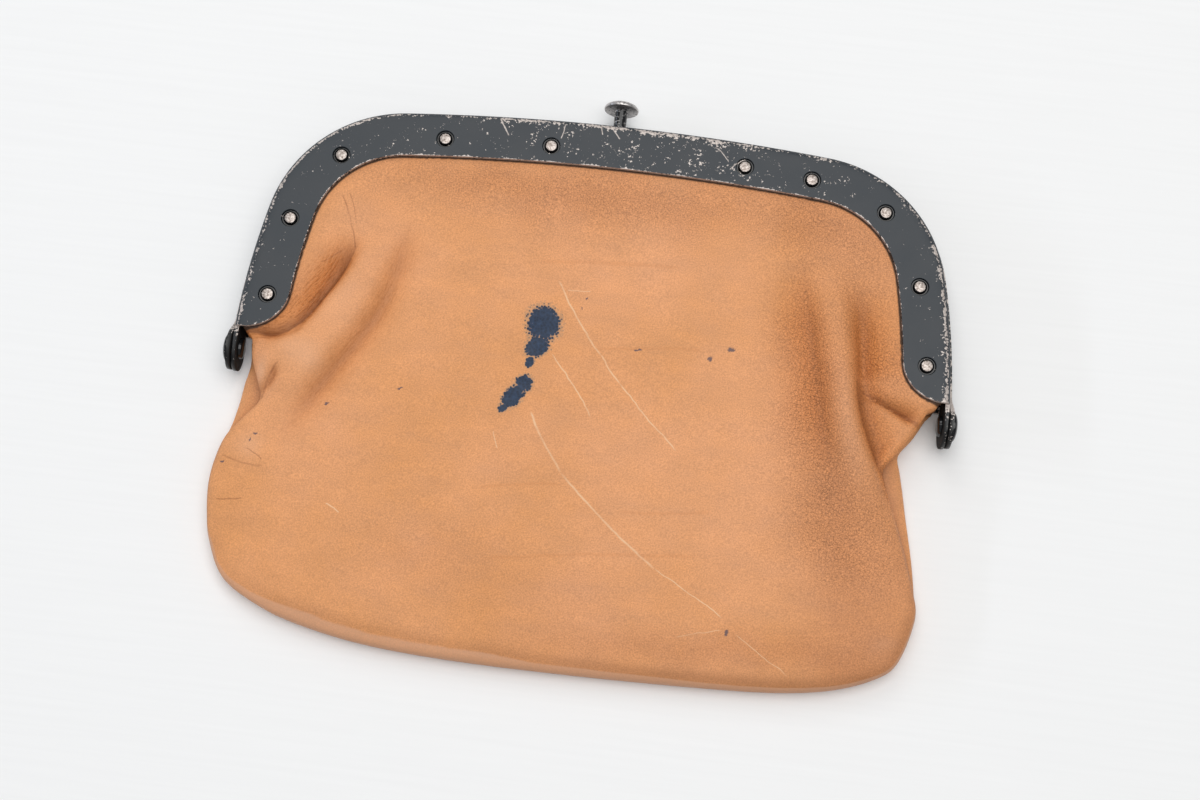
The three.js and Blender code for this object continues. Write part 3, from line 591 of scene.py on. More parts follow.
# Folds: points down the line of each, its rise in mm, its width in mm to the left and to the right of the way
# down, the shares of its length over which it fades in and out, and how finely gathered the leather is in it.
FOLDS = (
    (((-67, -40), (-69.5, -52), (-73.5, -62), (-79, -71.5), (-86, -81), (-93, -92), (-98, -101)),
     2.6, 8.5, 7.5, 0.35, 0.3, 0),
    (((-73, -42), (-75.5, -51), (-78.5, -58), (-82, -64), (-85, -69.5), (-88.5, -74), (-93, -76.6),
      (-99, -77), (-105, -77)), -4.6, 1.7, 6.5, 0.3, 0.0, 1.0),
    (((-58, -36), (-61, -50), (-62.5, -56), (-64, -62), (-66, -68), (-69.5, -75), (-73.5, -82),
      (-77.5, -89), (-82, -97), (-87, -105), (-92, -112)), -1.6, 4.2, 3.0, 0.2, 0.3, 0.9),
    (((-91.6, -85), (-93, -91), (-96.8, -95.3)), -1.7, 1.4, 2.2, 0.4, 0.0, 0.3),
    (((66.5, -36), (69.5, -48), (72, -60), (74.8, -72), (76.8, -82), (80, -91), (84, -100), (87, -108),
      (89, -118)), 2.6, 5.0, 6.0, 0.3, 0.3, 0),
    (((78, -38), (79.3, -52), (80, -62), (81, -70), (82.5, -76)), -3.3, 8.0, 3.4, 0.6, 0.25, 0.2),
    (((80, -74), (85.7, -77.1), (90, -79.2), (98.5, -83.8)), -2.4, 4.0, 1.1, 0.3, 0.0, 0.5),
    (((77, -62), (78.3, -71), (79.5, -78), (81, -83.5), (84, -91), (88.5, -99.5), (92, -106)),
     -3.0, 7.0, 1.3, 0.35, 0.0, 0.2),
    (((58.5, -34), (62, -48), (65.3, -60), (67.8, -72), (71, -90), (73.5, -104)),
     -2.4, 3.2, 8.0, 0.35, 0.4, 0),
)
STEEP = 2.5

# Leather darkened by hands, and in some fold valleys by painted shade: middle, width and height in mm, turn
# in degrees, and how dark.
HANDLED_AND_SHADE = (
    ((65, -76), 20, 96, 8, 0.53), ((84, -124), 36, 74, 8, 0.57), ((10, -23), 110, 22, 5, 0.46),
    ((84, -46), 18, 56, 4, 0.28), ((70, -27), 34, 22, -20, 0.35), ((88, -70), 20, 22, 30, 0.35),
    ((45, -156), 110, 13, 5, 0.4), ((-39, -137), 44, 22, 0, 0.2), ((-88, -64), 9, 30, -36, 0.3),
    ((-45, -20), 70, 15, 0, 0.32), ((75, -50), 10, 26, 4, 0.32), ((0, -146), 60, 20, 5, 0.15),
)

# Painted highlights on the ridges and bumps of the folds: the same measures.
RIDGE_HIGHLIGHTS = (
    ((-85, -82), 13, 9, -40, 0.5), ((-97.5, -88), 5, 9, 10, 0.7), ((-98, -111), 8, 6, 0, 0.4),
    ((-76, -64), 9, 16, -30, 0.25), ((76, -88), 7, 26, 12, 0.3), ((93, -149), 9, 5, 0, 0.35),
)

# Width of the pale band painted along the seam, and how dark the band just above it is, at an x, in mm.
SEAM_PALE_BAND = np.array(((-106, 0.5, 0.1), (-92, 1.6, 0.25), (-76, 2.9, 0.35), (-30, 2.6, 0.35), (-5, 1.5, 0.5),
                     (25, 1.1, 0.7), (60, 0.7, 0.8), (100, 0.4, 0.5)))


def smooth_line(points, shares, before=None, after=None):
    """Points at shares of the length of a smooth line through the given points. The points before and after
    it, where there are any, settle the way in which it starts and ends."""
    points = np.array(points, float)
    first = 2 * points[0] - points[1] if before is None else np.array(before)
    last = 2 * points[-1] - points[-2] if after is None else np.array(after)
    ends = np.vstack([first, points, last])
    t = np.linspace(0, 1, 24, endpoint=False)[:, None]
    stretches = [
        start + (end - before) * t / 2 + (2 * before - 5 * start + 4 * end - after) * t ** 2 / 2
        + (3 * start - before - 3 * end + after) * t ** 3 / 2
        for before, start, end, after in zip(ends, ends[1:], ends[2:], ends[3:])
    ]
    fine = np.vstack([*stretches, points[-1:]])
    lengths = np.concatenate([[0], np.cumsum(np.linalg.norm(np.diff(fine, axis=0), axis=1))])
    wanted = np.asarray(shares) * lengths[-1]
    return np.column_stack([np.interp(wanted, lengths, fine[:, axis]) for axis in (0, 1)])


def along_side(column, y):
    """The value of a side section's column at each y, smoothly between the sections."""
    line = smooth_line(np.column_stack([SIDE_SECTIONS["y"], SIDE_SECTIONS[column]]), np.linspace(0, 1, 160))
    return np.interp(-y, -line[:, 0], line[:, 1])


def distance_to(line, places):
    """Distance from each place of a grid to the nearest point of a line."""
    return np.array([np.sqrt(((row[:, None] - line[None]) ** 2).sum(2).min(1)) for row in places])


def beside(line, spots):
    """For each spot the nearest point of a line, how far off it is, and whether the spot lies on its left."""
    off = spots[:, None] - line[None]
    nearest = (off ** 2).sum(2).argmin(1)
    off = off[np.arange(len(spots)), nearest]
    heading = np.gradient(line, axis=0)[nearest]
    return nearest, np.sqrt((off ** 2).sum(1)), heading[:, 0] * off[:, 1] - heading[:, 1] * off[:, 0] > 0


def fold_rises(places):
    """Rise of all the folds at each place, and for the fold that works the leather most there: how crumpled
    and gathered it is, which also sets the painted shade in its valley, how dark a painted shadow lies in its
    crevice, and how far away it is on its steep side and along it."""
    rise, crumple_and_shade, rival, gather, crevice_shadow, across, along = (np.zeros(places.shape[:2]) for _ in range(7))
    even = np.linspace(0, 1, 90)
    for points, height, left_width, right_width, fade_in, fade_out, gathered in FOLDS:
        line = smooth_line(points, even)
        length = np.linalg.norm(np.diff(line, axis=0), axis=1).sum()
        fade = smoothstep(0, max(fade_in, 0.01), even) * (1 - smoothstep(1 - max(fade_out, 0.01), 1.01, even))
        steep_side = left_width < right_width
        deep = abs(height) / 4 if min(left_width, right_width) < STEEP else 0
        for row, spots in enumerate(places):
            nearest, distance, on_left = beside(line, spots)
            share = distance / np.where(on_left, left_width, right_width)
            rise[row] += height * fade[nearest] * np.exp(-share ** (4 if height > 0 else 2))
            worked = -height / 3 * fade[nearest] * np.exp(-share ** 2 / 1.5)
            most = worked > crumple_and_shade[row]
            rival[row] = np.maximum(rival[row], np.minimum(worked, crumple_and_shade[row]))
            crumple_and_shade[row][most] = worked[most]
            gather[row][most] = gathered * worked[most]
            crevice_shadow[row][most] = deep * fade[nearest][most]
            across[row][most] = np.where(on_left == steep_side, distance, -distance)[most]
            along[row][most] = length * even[nearest][most]
    crevice_shadow = np.clip(crevice_shadow, 0, 1) * smoothstep(0, 0.2, crumple_and_shade - rival)
    return rise, {"crumple_and_shade": np.clip(crumple_and_shade, 0, 1), "gather": np.clip(gather, 0, 1), "crevice_shadow": crevice_shadow,
                  "fold_across": across, "fold_along": along}


def held_by_plate(places, release):
    """1 where the leather lies under the plate, 0 where it is free."""
    line = np.array([outline_at(along) for along in np.linspace(-PLATE_END, PLATE_END, 240)]) - (0, TOP_EDGE)
    clear = smoothstep(*PLATE_CLEAR, distance_to(line, places))
    return (1 - clear) * smoothstep(*release, places[..., 1])


def rounded_rise(distance, reach):
    return np.sqrt(1 - (1 - np.minimum(distance / reach, 1)) ** 2)


def gentle_waves(places, size, height):
    """Slow unevenness of leather that has been carried for years."""
    waves = [[noise.noise(Vector((x / size, y / size, 0.5))) for x, y in row] for row in places]
    return height * np.array(waves)


def worn_share(places, patches):
    """How strongly patches of wear mark the leather at each place."""
    wander = np.dstack([gentle_waves(places + shift, *PATCH_WANDER) for shift in (0, 200)])
    share = np.zeros(places.shape[:2])
    for middle, width, height, turn, darkness in patches:
        off = places + wander - middle
        cosine, sine = math.cos(math.radians(turn)), math.sin(math.radians(turn))
        along = (off[..., 0] * cosine + off[..., 1] * sine) / (width / 2)
        across = (off[..., 1] * cosine - off[..., 0] * sine) / (height / 2)
        share += darkness * np.exp(-(along ** 2 + across ** 2))
    return share


def off_plate(places):
    """Distance in mm from the edge of the plate, negative under it."""
    edge = plate_edge(0) - (0, TOP_EDGE)
    sides = [beside(edge, row) for row in places]
    return np.array([np.where(clear, distance, -distance) for _, distance, clear in sides])


def hollows(z, reach):
    """How far each point of a grid lies below the points within its reach, in mm."""
    rows, columns = z.shape
    around = np.pad(z, reach, mode="edge")
    steps = range(2 * reach + 1)
    return np.mean([around[row:row + rows, column:column + columns] for row in steps for column in steps],
                   axis=0) - z


def front_height(places, from_edge):
    x, y = places[..., 0], places[..., 1]
    edge = along_side("front_z", y)
    crest = np.interp(-y, -CREST[:, 0], CREST[:, 1])
    rise, looks = fold_rises(places)
    inwards = smoothstep(*FOLDS_FROM_EDGE, from_edge)
    free = edge + (crest - edge) * rounded_rise(from_edge, FRONT_EDGE_ROUND)
    free += (rise + gentle_waves(places, *SWELL_WAVES)) * inwards
    held = held_by_plate(places, FRONT_RELEASE)
    z = free + (FRONT_LEVEL - free) * held
    pale_band, band_darkness = (np.interp(x, SEAM_PALE_BAND[:, 0], SEAM_PALE_BAND[:, column]) for column in (1, 2))
    above = smoothstep(*LOW_BAND, y)
    handled_and_shade = worn_share(places, HANDLED_AND_SHADE)
    pebbled = handled_and_shade * (PEBBLED + PEBBLED_MORE * above)
    pebbled += PEBBLED_FOLDS * np.maximum(looks["crumple_and_shade"] - looks["gather"], 0)
    return z, {
        **looks, "hollow_shade": np.clip(hollows(z, HOLLOW_REACH), 0, 1), "handled_and_shade": handled_and_shade, "pebbled": pebbled,
        "ridge_highlight": worn_share(places, RIDGE_HIGHLIGHTS), "off_plate": off_plate(places),
        "pale_band": from_edge / pale_band + 2 * above,
        "seam_dark_band": band_darkness * (1 - above)
        * np.exp(-((from_edge - pale_band - SEAM_DARK_UP) / SEAM_DARK_REACH) ** 2),
    }


def grid_shares(count):
    """Shares of a grid's lines, closer together towards both ends and half as far in, where the folds are."""
    even = np.linspace(0, 1, 600)
    close = 0.6 + sum(np.exp(-((even - middle) / reach) ** 2) for middle, reach in GRID_CLOSE)
    run = np.concatenate([[0], np.cumsum(close[1:])])
    return np.interp(np.linspace(0, run[-1], count), run, even)


def panel_lines(front_or_back):
    """The four edges of a panel in plan: along the crown, down the left and right sides, along the bottom."""
    def arch(start, end, count):
        points = [outline_at(along, BORDER_INSET) for along in np.linspace(start, end, count)]
        return [(x, y - TOP_EDGE) for x, y in points]
    left = list(zip(SIDE_SECTIONS[f"left_{front_or_back}"], SIDE_SECTIONS["y"]))
    right = list(zip(SIDE_SECTIONS[f"right_{front_or_back}"], SIDE_SECTIONS["y"]))
    return (arch(-TOP_CORNER, TOP_CORNER, 25),
            arch(-TOP_CORNER, -PLATE_END, 7) + left + [BOTTOM_EDGE[0]],
            arch(TOP_CORNER, PLATE_END, 7) + right + [BOTTOM_EDGE[-1]],
            BOTTOM_EDGE)


def roll_rings(edge, outwards, level, seam_side, seam_column):
    """Rings from a panel's edge out under the plate, or below the frame over and in to the seam."""
    x, y, z = edge.T
    seam_x = along_side(seam_column, y) if seam_column else x
    seam_x = np.where(y > SIDE_SECTIONS["y"][-1], seam_x, x)
    clearance = SEAM_GAP + along_side("tuck", y) * LEATHER / 2
    seam = np.column_stack([seam_x, y, along_side("seam_z", y) + seam_side * clearance])
    flat = np.column_stack([edge[:, :2] + outwards * LEATHER_BORDER, np.full(len(edge), level)])
    held = smoothstep(*EDGE_RELEASE, y)[:, None]
    out = np.column_stack([outwards, np.zeros(len(edge))])
    rings = []
    for ring in range(1, ROLL_RINGS + 1):
        share = ring / ROLL_RINGS
        ease = np.array([share ** 2, share ** 2, math.sin(math.pi / 2 * share)])
        rolled = edge + (seam - edge) * ease + out * ROLL_BULGE * math.sin(math.pi * share)
        rings.append(rolled + (edge + (flat - edge) * share - rolled) * held)
    return np.array(rings)


def leather_panel(name, front_or_back, columns, rows, height, level, seam_side):
    """One panel: a grid blended between its four edges, raised to its height, with a rolled border."""
    u, v = grid_shares(columns), grid_shares(rows)
    top_line, left_line, right_line, bottom_line = panel_lines(front_or_back)
    left_at = partial(smooth_line, left_line, after=bottom_line[1])
    right_at = partial(smooth_line, right_line, after=bottom_line[-2])
    bottom_at = partial(smooth_line, bottom_line, before=left_line[-2], after=right_line[-2])
    top, bottom = smooth_line(top_line, u)[None], bottom_at(u)[None]
    left, right = left_at(v)[:, None], right_at(v)[:, None]
    across, down = u[None, :, None], v[:, None, None]
    places = (1 - down) * top + down * bottom + (1 - across) * left + across * right
    places -= (1 - down) * ((1 - across) * left[0] + across * right[0])
    places -= down * ((1 - across) * left[-1] + across * right[-1])
    even = np.linspace(0, 1, 800)
    seam_line = np.vstack([left_at(even), bottom_at(even), right_at(even)])
    seam_line = seam_line[seam_line[:, 1] < PLATE_END_Y]
    from_edge = distance_to(seam_line, places)
    for edge in (np.s_[:, 0], np.s_[:, -1], np.s_[-1, :]):
        from_edge[edge] = np.where(places[edge][:, 1] < PLATE_END_Y, 0, from_edge[edge])
    z, looks = height(places, from_edge)
    inner = np.dstack([places, z])

    loop = np.vstack([inner[0, :-1], inner[:-1, -1], inner[-1, :0:-1], inner[:0:-1, 0]])[:, :2]
    ahead = np.roll(loop, -1, axis=0) - np.roll(loop, 1, axis=0)
    away = np.column_stack([-ahead[:, 1], ahead[:, 0]]) / np.linalg.norm(ahead, axis=1)[:, None]
    corners = np.cumsum([0, columns - 1, rows - 1, columns - 1, rows - 1])
    round_trip = np.vstack([away, away[:1]])
    top_way, right_way, bottom_way, left_way = (
        round_trip[start:end + 1] for start, end in zip(corners, corners[1:]))
    edges = {"top": (inner[0], top_way, None), "right": (inner[:, -1], right_way, "right_seam"),
             "bottom": (inner[-1], bottom_way[::-1], None),
             "left": (inner[:, 0], left_way[::-1], "left_seam")}
    rings = {side: roll_rings(edge, way, level, seam_side, column)
             for side, (edge, way, column) in edges.items()}

    extra = ROLL_RINGS
    whole = np.zeros((rows + 2 * extra, columns + 2 * extra, 3))
    whole[extra:-extra, extra:-extra] = inner
    for ring in range(extra):
        first, last = extra - 1 - ring, -(extra - ring)
        whole[first, extra:-extra] = rings["top"][ring]
        whole[last, extra:-extra] = rings["bottom"][ring]
        whole[extra:-extra, first] = rings["left"][ring]
        whole[extra:-extra, last] = rings["right"][ring]
        for row, corner in ((first, 0), (last, -1)):
            whole[row, :extra] = rings["left"][ring][corner]
            whole[row, -extra:] = rings["right"][ring][corner]
            inside = slice(row, extra) if corner == 0 else slice(len(whole) - extra, len(whole) + row + 1)
            whole[inside, first] = rings["left"][ring][corner]
            whole[inside, last] = rings["right"][ring][corner]
    layers = {key: np.pad(values, extra, mode="edge") for key, values in looks.items()}
    # How far each point is turned in to the seam, which the back's material darkens as painted shade.
    layers["tuck_shade"] = np.pad(np.zeros(z.shape), extra, mode="linear_ramp", end_values=1) ** 2

    bm = bmesh.new()
    bmesh.ops.create_grid(bm, x_segments=whole.shape[1] - 1, y_segments=whole.shape[0] - 1, size=1)
    stored = {key: bm.verts.layers.float.new(key) for key in layers}
    for vert in bm.verts:
        column = round((vert.co.x + 1) / 2 * (whole.shape[1] - 1))
        row = round((1 - vert.co.y) / 2 * (whole.shape[0] - 1))
        vert.co = (Vector(whole[row, column]) + Vector((0, TOP_EDGE, 0))) * MM
        for key, layer in stored.items():
            vert[layer] = layers[key][row, column]
    bmesh.ops.remove_doubles(bm, verts=bm.verts, dist=1e-6)
    bmesh.ops.dissolve_degenerate(bm, dist=1e-7, edges=bm.edges)
    piece = new_piece(name, bm)
    modify(piece, "leather", "SOLIDIFY", thickness=LEATHER * MM, offset=0)
    return piece


# Lines on the front, in mm from the middle of the frame's top edge: from and to, bow and width.
SCRATCHES = (
    ((-12.5, -51), (2.8, -73), -0.6, 0.36), ((2.6, -72.6), (9.3, -80.8), 0.0, 0.3),
    ((9.0, -80.5), (28, -99), -0.3, 0.27), ((-12, -74), (2, -92), 0.6, 0.28),
    ((-16, -92), (-5, -109.2), -0.4, 0.42), ((-5.2, -109), (25.5, -134), -0.8, 0.42),
    ((25, -133.7), (46.5, -146), 0.2, 0.22), ((50.5, -150), (66.5, -160), 0.0, 0.15),
    ((33.5, -152.7), (46, -149.5), 0.3, 0.13), ((-72, -125.7), (-67.5, -128), 0.2, 0.28),
    ((-26, -99), (-24.5, -104), 0.0, 0.2), ((-9.5, -54), (-2.5, -53.6), 0.2, 0.2),
)
# Creases, drawn as darker lines of painted shade: the same measures.
CREASES = (
    ((-105, -114.5), (-91.5, -116.8), -0.8, 0.4), ((-104.5, -127.8), (-96.5, -126.8), -0.3, 0.3),
    ((-81, -31.5), (-74.5, -48.5), 0.8, 0.3), ((-79, -30.5), (-75.2, -41), 0.5, 0.25),
    ((-78.5, -48.3), (-84.6, -53.2), 0.3, 0.25), ((-91.8, -85.6), (-95.6, -97), -0.8, 0.5),
    ((79.5, -74), (98.5, -83.2), 0.4, 0.5), ((-97.5, -112), (-92.5, -115), 0.3, 0.25),
)
# Wrinkles, drawn as slightly darker lines of painted shade: the same measures.
WRINKLES = (
    ((-1, -71.3), (33, -67.8), 0.5, 0.7), ((-29, -116.2), (-4, -112.6), 0.6, 0.6),
    ((13, -118.8), (40, -115.8), -0.4, 0.7), ((-26, -137), (38, -129), 1.0, 0.7),
    ((-20, -46), (24, -43), 0.6, 0.9),
)

# Patches on the front: middle, width and height in mm, and turn in degrees. Ink has been spilt on it and
# has touched off in specks.
INK_BLOTS = (
    ((-15.3, -65.0), 11.2, 11.8, 20), ((-16.2, -72.4), 8.0, 6.6, 30), ((-17.8, -77.2), 2.8, 3.8, -20),
    ((-18.9, -83.7), 6.0, 5.4, 40), ((-21.7, -88.2), 8.8, 5.8, 50), ((-24.2, -91.8), 3.4, 2.6, 30),
)
INK_SPECKS = (
    ((47.8, -149.7), 1.5, 2.2, 0), ((41, -66.7), 2.6, 1.7, 0), ((13.6, -69.9), 3.0, 0.8, 10),
    ((35.1, -70.2), 2.0, 1.8, 0), ((-95.6, -107.4), 1.6, 1.0, 30), ((-96.8, -109.4), 0.9, 1.4, 0),
    ((-76.1, -96.5), 1.9, 1.1, 20), ((-104.4, -116.7), 1.7, 0.9, 20), ((-55, -89.3), 2.4, 0.8, 20),
    ((-3.4, -55.8), 0.6, 1.2, -20), ((-4.6, -59), 0.5, 1.3, -15),
)
CRACKLED = ((72.3, -106.4), 9, 13, -10)


def patch_reach(tree, place, middle, width, height, turn):
    """How far out from the middle of a patch in plan each place is: 1 on its edge."""
    mapped = add(tree, "Mapping", (place, (middle[0] * MM, (middle[1] + TOP_EDGE) * MM, 0),
                                   (0, 0, math.radians(turn)), (width / 2 * MM, height / 2 * MM, 1)),
                 vector_type="TEXTURE")
    return add(tree, "VectorMath", (mapped,), operation="LENGTH")


def patch_masks(tree, place, patches, soft_from, soft_to):
    """Masks of patches that are 1 inside and fade out between two reaches."""
    return [add(tree, "MapRange", (patch_reach(tree, place, *patch), soft_from, soft_to, 1, 0),
                interpolation_type="SMOOTHSTEP") for patch in patches]


def leather_skin(tree, place):
    """Colour of vegetable-tanned cowhide before any marks, the height of its pores in mm, its mottling, drawn
    out across the bag with the fibres of the hide, and its flecks. Real pores are too fine to show, so these
    are as coarse as they need to be."""
    clouds = add(tree, "TexNoise", {"Vector": place, "Scale": 1 / (38 * MM), "Detail": 4, "Roughness": 0.55})
    streaked = add(tree, "Mapping", {"Vector": place, "Scale": (0.45, 1, 1)})
    mottle = add(tree, "TexNoise", {"Vector": streaked, "Scale": 1 / (6 * MM), "Detail": 6,
                                    "Roughness": 0.62})
    flecks = add(tree, "TexNoise", {"Vector": place, "Scale": 1 / (0.42 * MM), "Detail": 3})
    pores = add(tree, "TexVoronoi", {"Vector": place, "Scale": 1 / (0.8 * MM)})
    tone = add(tree, "MapRange", (clouds, 0.3, 0.7))
    tan = add(tree, "Mix", (tone, linear("#D6935B"), linear("#DF9D6D")), data_type="RGBA")
    spotted = add(tree, "MapRange", (mottle, 0.3, 0.7, 0.92, 1.08))
    flecked = add(tree, "MapRange", (flecks, 0.3, 0.7, 0.83, 1.17))
    shade = add(tree, "Math", (spotted, flecked), operation="MULTIPLY")
    colour = add(tree, "VectorMath", (tan, shade), operation="SCALE")
    return colour, add(tree, "Math", (pores, 0.05), operation="MULTIPLY"), mottle, flecks


def finish_leather(tree, colour, height, mottle):
    bump = add(tree, "Bump", {"Height": height, "Distance": 1 * MM, "Strength": 0.7})
    rough = add(tree, "MapRange", (mottle, 0.3, 0.7, 0.5, 0.66))
    finish_material(tree, {"Base Color": colour, "Roughness": rough, "IOR": 1.42, "Normal": bump})


def carried_leather(name):
    """Smooth tan cowhide that has been carried for years: warm brown with fine pores, darker and pebbled
    where hands have worked it, with painted shade in the folds, their crevices and creases and along the
    plate's edge, painted highlights on the ridges, a pale band of painted light along the seam,
    scratches and blue ink."""
    material, tree, place = new_material(name)
    colour, height, mottle, flecks = leather_skin(tree, place)
    looks = {stored: add(tree, "Attribute", output="Fac", attribute_name=stored) for stored in (
        "crumple_and_shade", "gather", "pebbled", "crevice_shadow", "fold_across", "fold_along", "hollow_shade", "handled_and_shade", "ridge_highlight",
        "off_plate", "pale_band", "seam_dark_band")}

    # Painted highlight on the ridges and bumps of the folds.
    colour = laid_over(tree, colour, looks["ridge_highlight"], "#E6B898", 0.55)
    # Darker where hands have worked the leather, and in some fold valleys by painted shade.
    colour = laid_over(tree, colour, looks["handled_and_shade"], "#A8643A", 0.72)
    lengthwise = add(tree, "Math", (looks["fold_along"], 0.16), operation="MULTIPLY")
    gather_place = add(tree, "CombineXYZ", (looks["fold_across"], lengthwise))
    gathers = add(tree, "TexNoise", {"Vector": gather_place, "Scale": 2.0, "Detail": 2})
    gathered = add(tree, "Math", (gathers, looks["gather"]), operation="MULTIPLY")
    height = add(tree, "Math", (gathered, 0.5, height), operation="MULTIPLY_ADD")
    wrinkle = add(tree, "MapRange", (gathers, 0.38, 0.48, looks["gather"], 0))
    # Painted shade: fold valleys tinted a darker orange.
    colour = laid_over(tree, colour, looks["crumple_and_shade"], "#CC7C3A", 0.65)
    # Painted shade in the furrows of gathered leather in the folds.
    colour = laid_over(tree, colour, wrinkle, "#A9652F", 0.6)
    # Painted shade: darker where the leather lies below its surroundings.
    colour = laid_over(tree, colour, looks["hollow_shade"], "#8A4E28", 0.4)
    # Painted shadow: a dark line at the foot of each steep fold wall, fading out across the valley's floor.
    foot = add(tree, "MapRange", (looks["fold_across"], 0.1, 0.8, 1, 0))
    floor = add(tree, "MapRange", (looks["fold_across"], -3.5, 0.0, 0, looks["crevice_shadow"]))
    painted_crevice_shadow = add(tree, "Math", (foot, floor), operation="MULTIPLY")
    colour = laid_over(tree, colour, painted_crevice_shadow, "#6E3C1D", 0.7)
    # A darker band just above the pale band along the seam, stronger towards the right.
    colour = laid_over(tree, colour, looks["seam_dark_band"], "#8A5836", 0.6)
    pebbles = add(tree, "TexVoronoi", {"Vector": unsteady(tree, place, 1.6, 0.7), "Scale": 1 / (1.0 * MM)},
                  feature="DISTANCE_TO_EDGE")
    furrows = add(tree, "MapRange", (pebbles, 0.0, 0.13, 0.4, -0.12))
    gritty = add(tree, "MapRange", (flecks, 0.3, 0.7, 0.5, -0.5))
    rough = add(tree, "Math", (furrows, gritty), operation="ADD")
    pebbled = add(tree, "Math", (rough, looks["pebbled"]), operation="MULTIPLY")
    height = add(tree, "Math", (pebbled, -0.25, height), operation="MULTIPLY_ADD")
    dimmed = add(tree, "Math", (1.0, pebbled), operation="SUBTRACT")
    colour = add(tree, "VectorMath", (colour, dimmed), operation="SCALE")
    # Painted shadow of the plate on the leather under it and just beyond its edge.
    plate_shadow = add(tree, "MapRange", (looks["off_plate"], 0.35, 0.75, 1, 0))
    colour = laid_over(tree, colour, plate_shadow, "#20130B", 0.9)

    wavering = unsteady(tree, place, 5, 1.3)
    # Painted shade: wrinkles and creases drawn as darker lines.
    wrinkled = together(tree, [line_mark(tree, wavering, *line) for line in WRINKLES])
    colour = laid_over(tree, colour, wrinkled, "#C47C45", 0.2)
    creased = together(tree, [line_mark(tree, wavering, *line) for line in CREASES])
    broken = add(tree, "MapRange", (mottle, 0.38, 0.56, 0.45, 1.0))
    crease = add(tree, "Math", (creased, broken), operation="MULTIPLY")
    colour = laid_over(tree, colour, crease, "#804A2A", 0.5)
    crackle = add(tree, "TexVoronoi", {"Vector": wavering, "Scale": 1 / (1.1 * MM)},
                  feature="DISTANCE_TO_EDGE")
    cracks = add(tree, "MapRange", (crackle, 0.02, 0.14, 1, 0))
    crackled, = patch_masks(tree, wavering, [CRACKLED], 0.2, 1.1)
    cracked = add(tree, "Math", (cracks, crackled), operation="MULTIPLY")
    colour = laid_over(tree, colour, cracked, "#6A4028", 0.4)
    scratched = together(tree, [line_mark(tree, wavering, *line) for line in SCRATCHES])
    scratch = add(tree, "Math", (scratched, broken), operation="MULTIPLY")
    colour = laid_over(tree, colour, scratch, "#EFC79E", 0.7)
    # Painted light: a pale band along the seam, where the rolled edge catches light from the table.
    ragged_band = add(tree, "Math", (mottle, 0.8, looks["pale_band"]), operation="MULTIPLY_ADD")
    rubbed = add(tree, "MapRange", (ragged_band, 1.25, 1.5, 1, 0))
    colour = laid_over(tree, colour, rubbed, "#D4A486", 0.55)

    spatter = add(tree, "TexVoronoi", {"Vector": place, "Scale": 1 / (0.85 * MM)})
    spread = patch_reach(tree, wavering, *INK_BLOTS[0])
    for blot in INK_BLOTS[1:]:
        spread = add(tree, "Math", (spread, patch_reach(tree, wavering, *blot)), operation="MINIMUM")
    ragged = add(tree, "Math", (spatter, 0.5, spread), operation="MULTIPLY_ADD")
    fringe = add(tree, "MapRange", (ragged, 1.1, 1.4, 1, 0))
    ink = add(tree, "MapRange", (ragged, 1.08, 1.18, 1, 0))
    blue = add(tree, "Mix", (spatter, linear("#142033"), linear("#283C58")), data_type="RGBA")
    colour = laid_over(tree, colour, fringe, "#5E7068", 0.5)
    colour = add(tree, "Mix", (ink, colour, blue), data_type="RGBA")
    touched = together(tree, patch_masks(tree, unsteady(tree, place, 0.9, 1.6), INK_SPECKS, 0.5, 1.0))
    colour = laid_over(tree, colour, touched, "#4F4650", 0.85)
    finish_leather(tree, colour, height, mottle)
    return material


front_leather = leather_panel("front_leather_panel", "front", 200, 175, front_height, FRONT_LEVEL, 1)
front_leather.data.materials.append(carried_leather("carried_vegetable_tanned_leather"))
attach(front_leather, "pouch")
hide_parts("leather_front")


# Back leather
# The back of the bag is a second piece of the same hide, riveted under the back plate. It lies flat on the
# table and turns up at its edge to the seam.

BACK_LEVEL = BACK_FACE + PLATE_TO_LEATHER
FLAT_LEVEL = LEATHER / 2
BACK_EDGE_ROUND = 9
BACK_RELEASE = (PLATE_END_Y - 15, PLATE_END_Y - 5)


def back_height(places, from_edge):
    edge = along_side("back_z", places[..., 1])
    free = edge + (FLAT_LEVEL - edge) * rounded_rise(from_edge, BACK_EDGE_ROUND)
    held = held_by_plate(places, BACK_RELEASE)
    return free + (BACK_LEVEL - free) * held, {}


back_leather = leather_panel("back_leather_panel", "back", 120, 105, back_height, BACK_LEVEL, -1)
# The same tanned cowhide without stains: an even, soft tan, with painted shade where it turns in to the seam.
material, tree, place = new_material("vegetable_tanned_leather")
colour, height, mottle, _ = leather_skin(tree, place)
tuck_shade = add(tree, "Attribute", output="Fac", attribute_name="tuck_shade")
finish_leather(tree, laid_over(tree, colour, tuck_shade, "#7A4524", 0.9), height, mottle)
back_leather.data.materials.append(material)
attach(back_leather, "pouch")
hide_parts("leather_back")


# Table, light and camera
# The pouch lies on a white table, seen from almost straight above. Soft daylight comes from above and behind,
# and from a low window on the left.

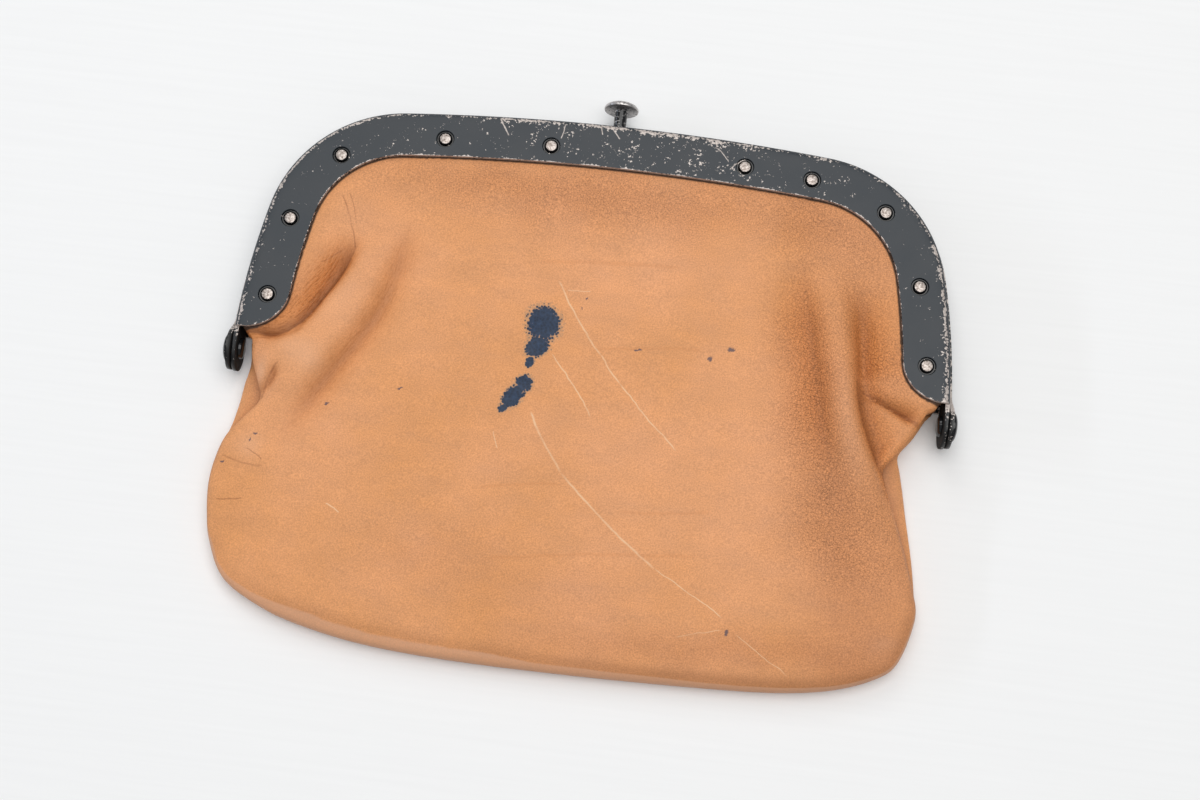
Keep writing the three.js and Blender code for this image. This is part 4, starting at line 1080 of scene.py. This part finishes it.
CAMERA_PLACE = (17.5, -126.0, 489.5)
CAMERA_AIM = (4.1, -8.9, 15.3)

bm = bmesh.new()
bmesh.ops.create_grid(bm, x_segments=2, y_segments=2, size=1.5)
table = new_piece("table", bm)
# Matt white paint, brushed on along the table, which leaves faint streaks.
material, tree, place = new_material("white_table_paint")
lengthwise = add(tree, "Mapping", {"Vector": place, "Scale": (0.03, 1, 1)})
paint = add(tree, "TexNoise", {"Vector": lengthwise, "Scale": 1 / (1.6 * MM), "Detail": 3})
shade = add(tree, "Mix", (paint, linear("#EFEFEF"), linear("#F4F4F4")), data_type="RGBA")
finish_material(tree, {"Base Color": shade, "Roughness": 0.7})
table.data.materials.append(material)

world = bpy.data.worlds.new("daylight")
world.use_nodes = True
sky = world.node_tree.nodes["Background"]
sky.inputs["Color"].default_value = (0.94, 0.97, 1.0, 1)
sky.inputs["Strength"].default_value = 0.3
bpy.context.scene.world = world

for name, place, size, energy, tint in (
    ("ceiling", (0.15, 0.1, 1.6), (1.6, 1.6), 20.4, "#FFFEFC"),
    ("window", (-0.5, 1.3, 1.3), (0.9, 0.9), 6, "#FFFEFC"),
    ("side window", (-1.4, 0.0, 0.5), (1.2, 0.05), 3.2, "#E0EDFF"),
):
    light = bpy.data.lights.new(name, "AREA")
    light.shape = "RECTANGLE"
    light.energy = energy
    light.size, light.size_y = size
    light.color = linear(tint)[:3]
    lamp = bpy.data.objects.new(name, light)
    lamp.location = place
    lamp.rotation_euler = (-lamp.location).to_track_quat("-Z", "Y").to_euler()
    bpy.context.scene.collection.objects.link(lamp)

lens = bpy.data.cameras.new("camera")
lens.lens = 50
lens.sensor_width = 36
camera = bpy.data.objects.new("camera", lens)
camera.location = Vector(CAMERA_PLACE) * MM
camera.rotation_euler = (Vector(CAMERA_AIM) - Vector(CAMERA_PLACE)).to_track_quat("-Z", "Y").to_euler()
bpy.context.scene.collection.objects.link(camera)
bpy.context.scene.camera = camera
bpy.context.scene.view_settings.view_transform = "Standard"
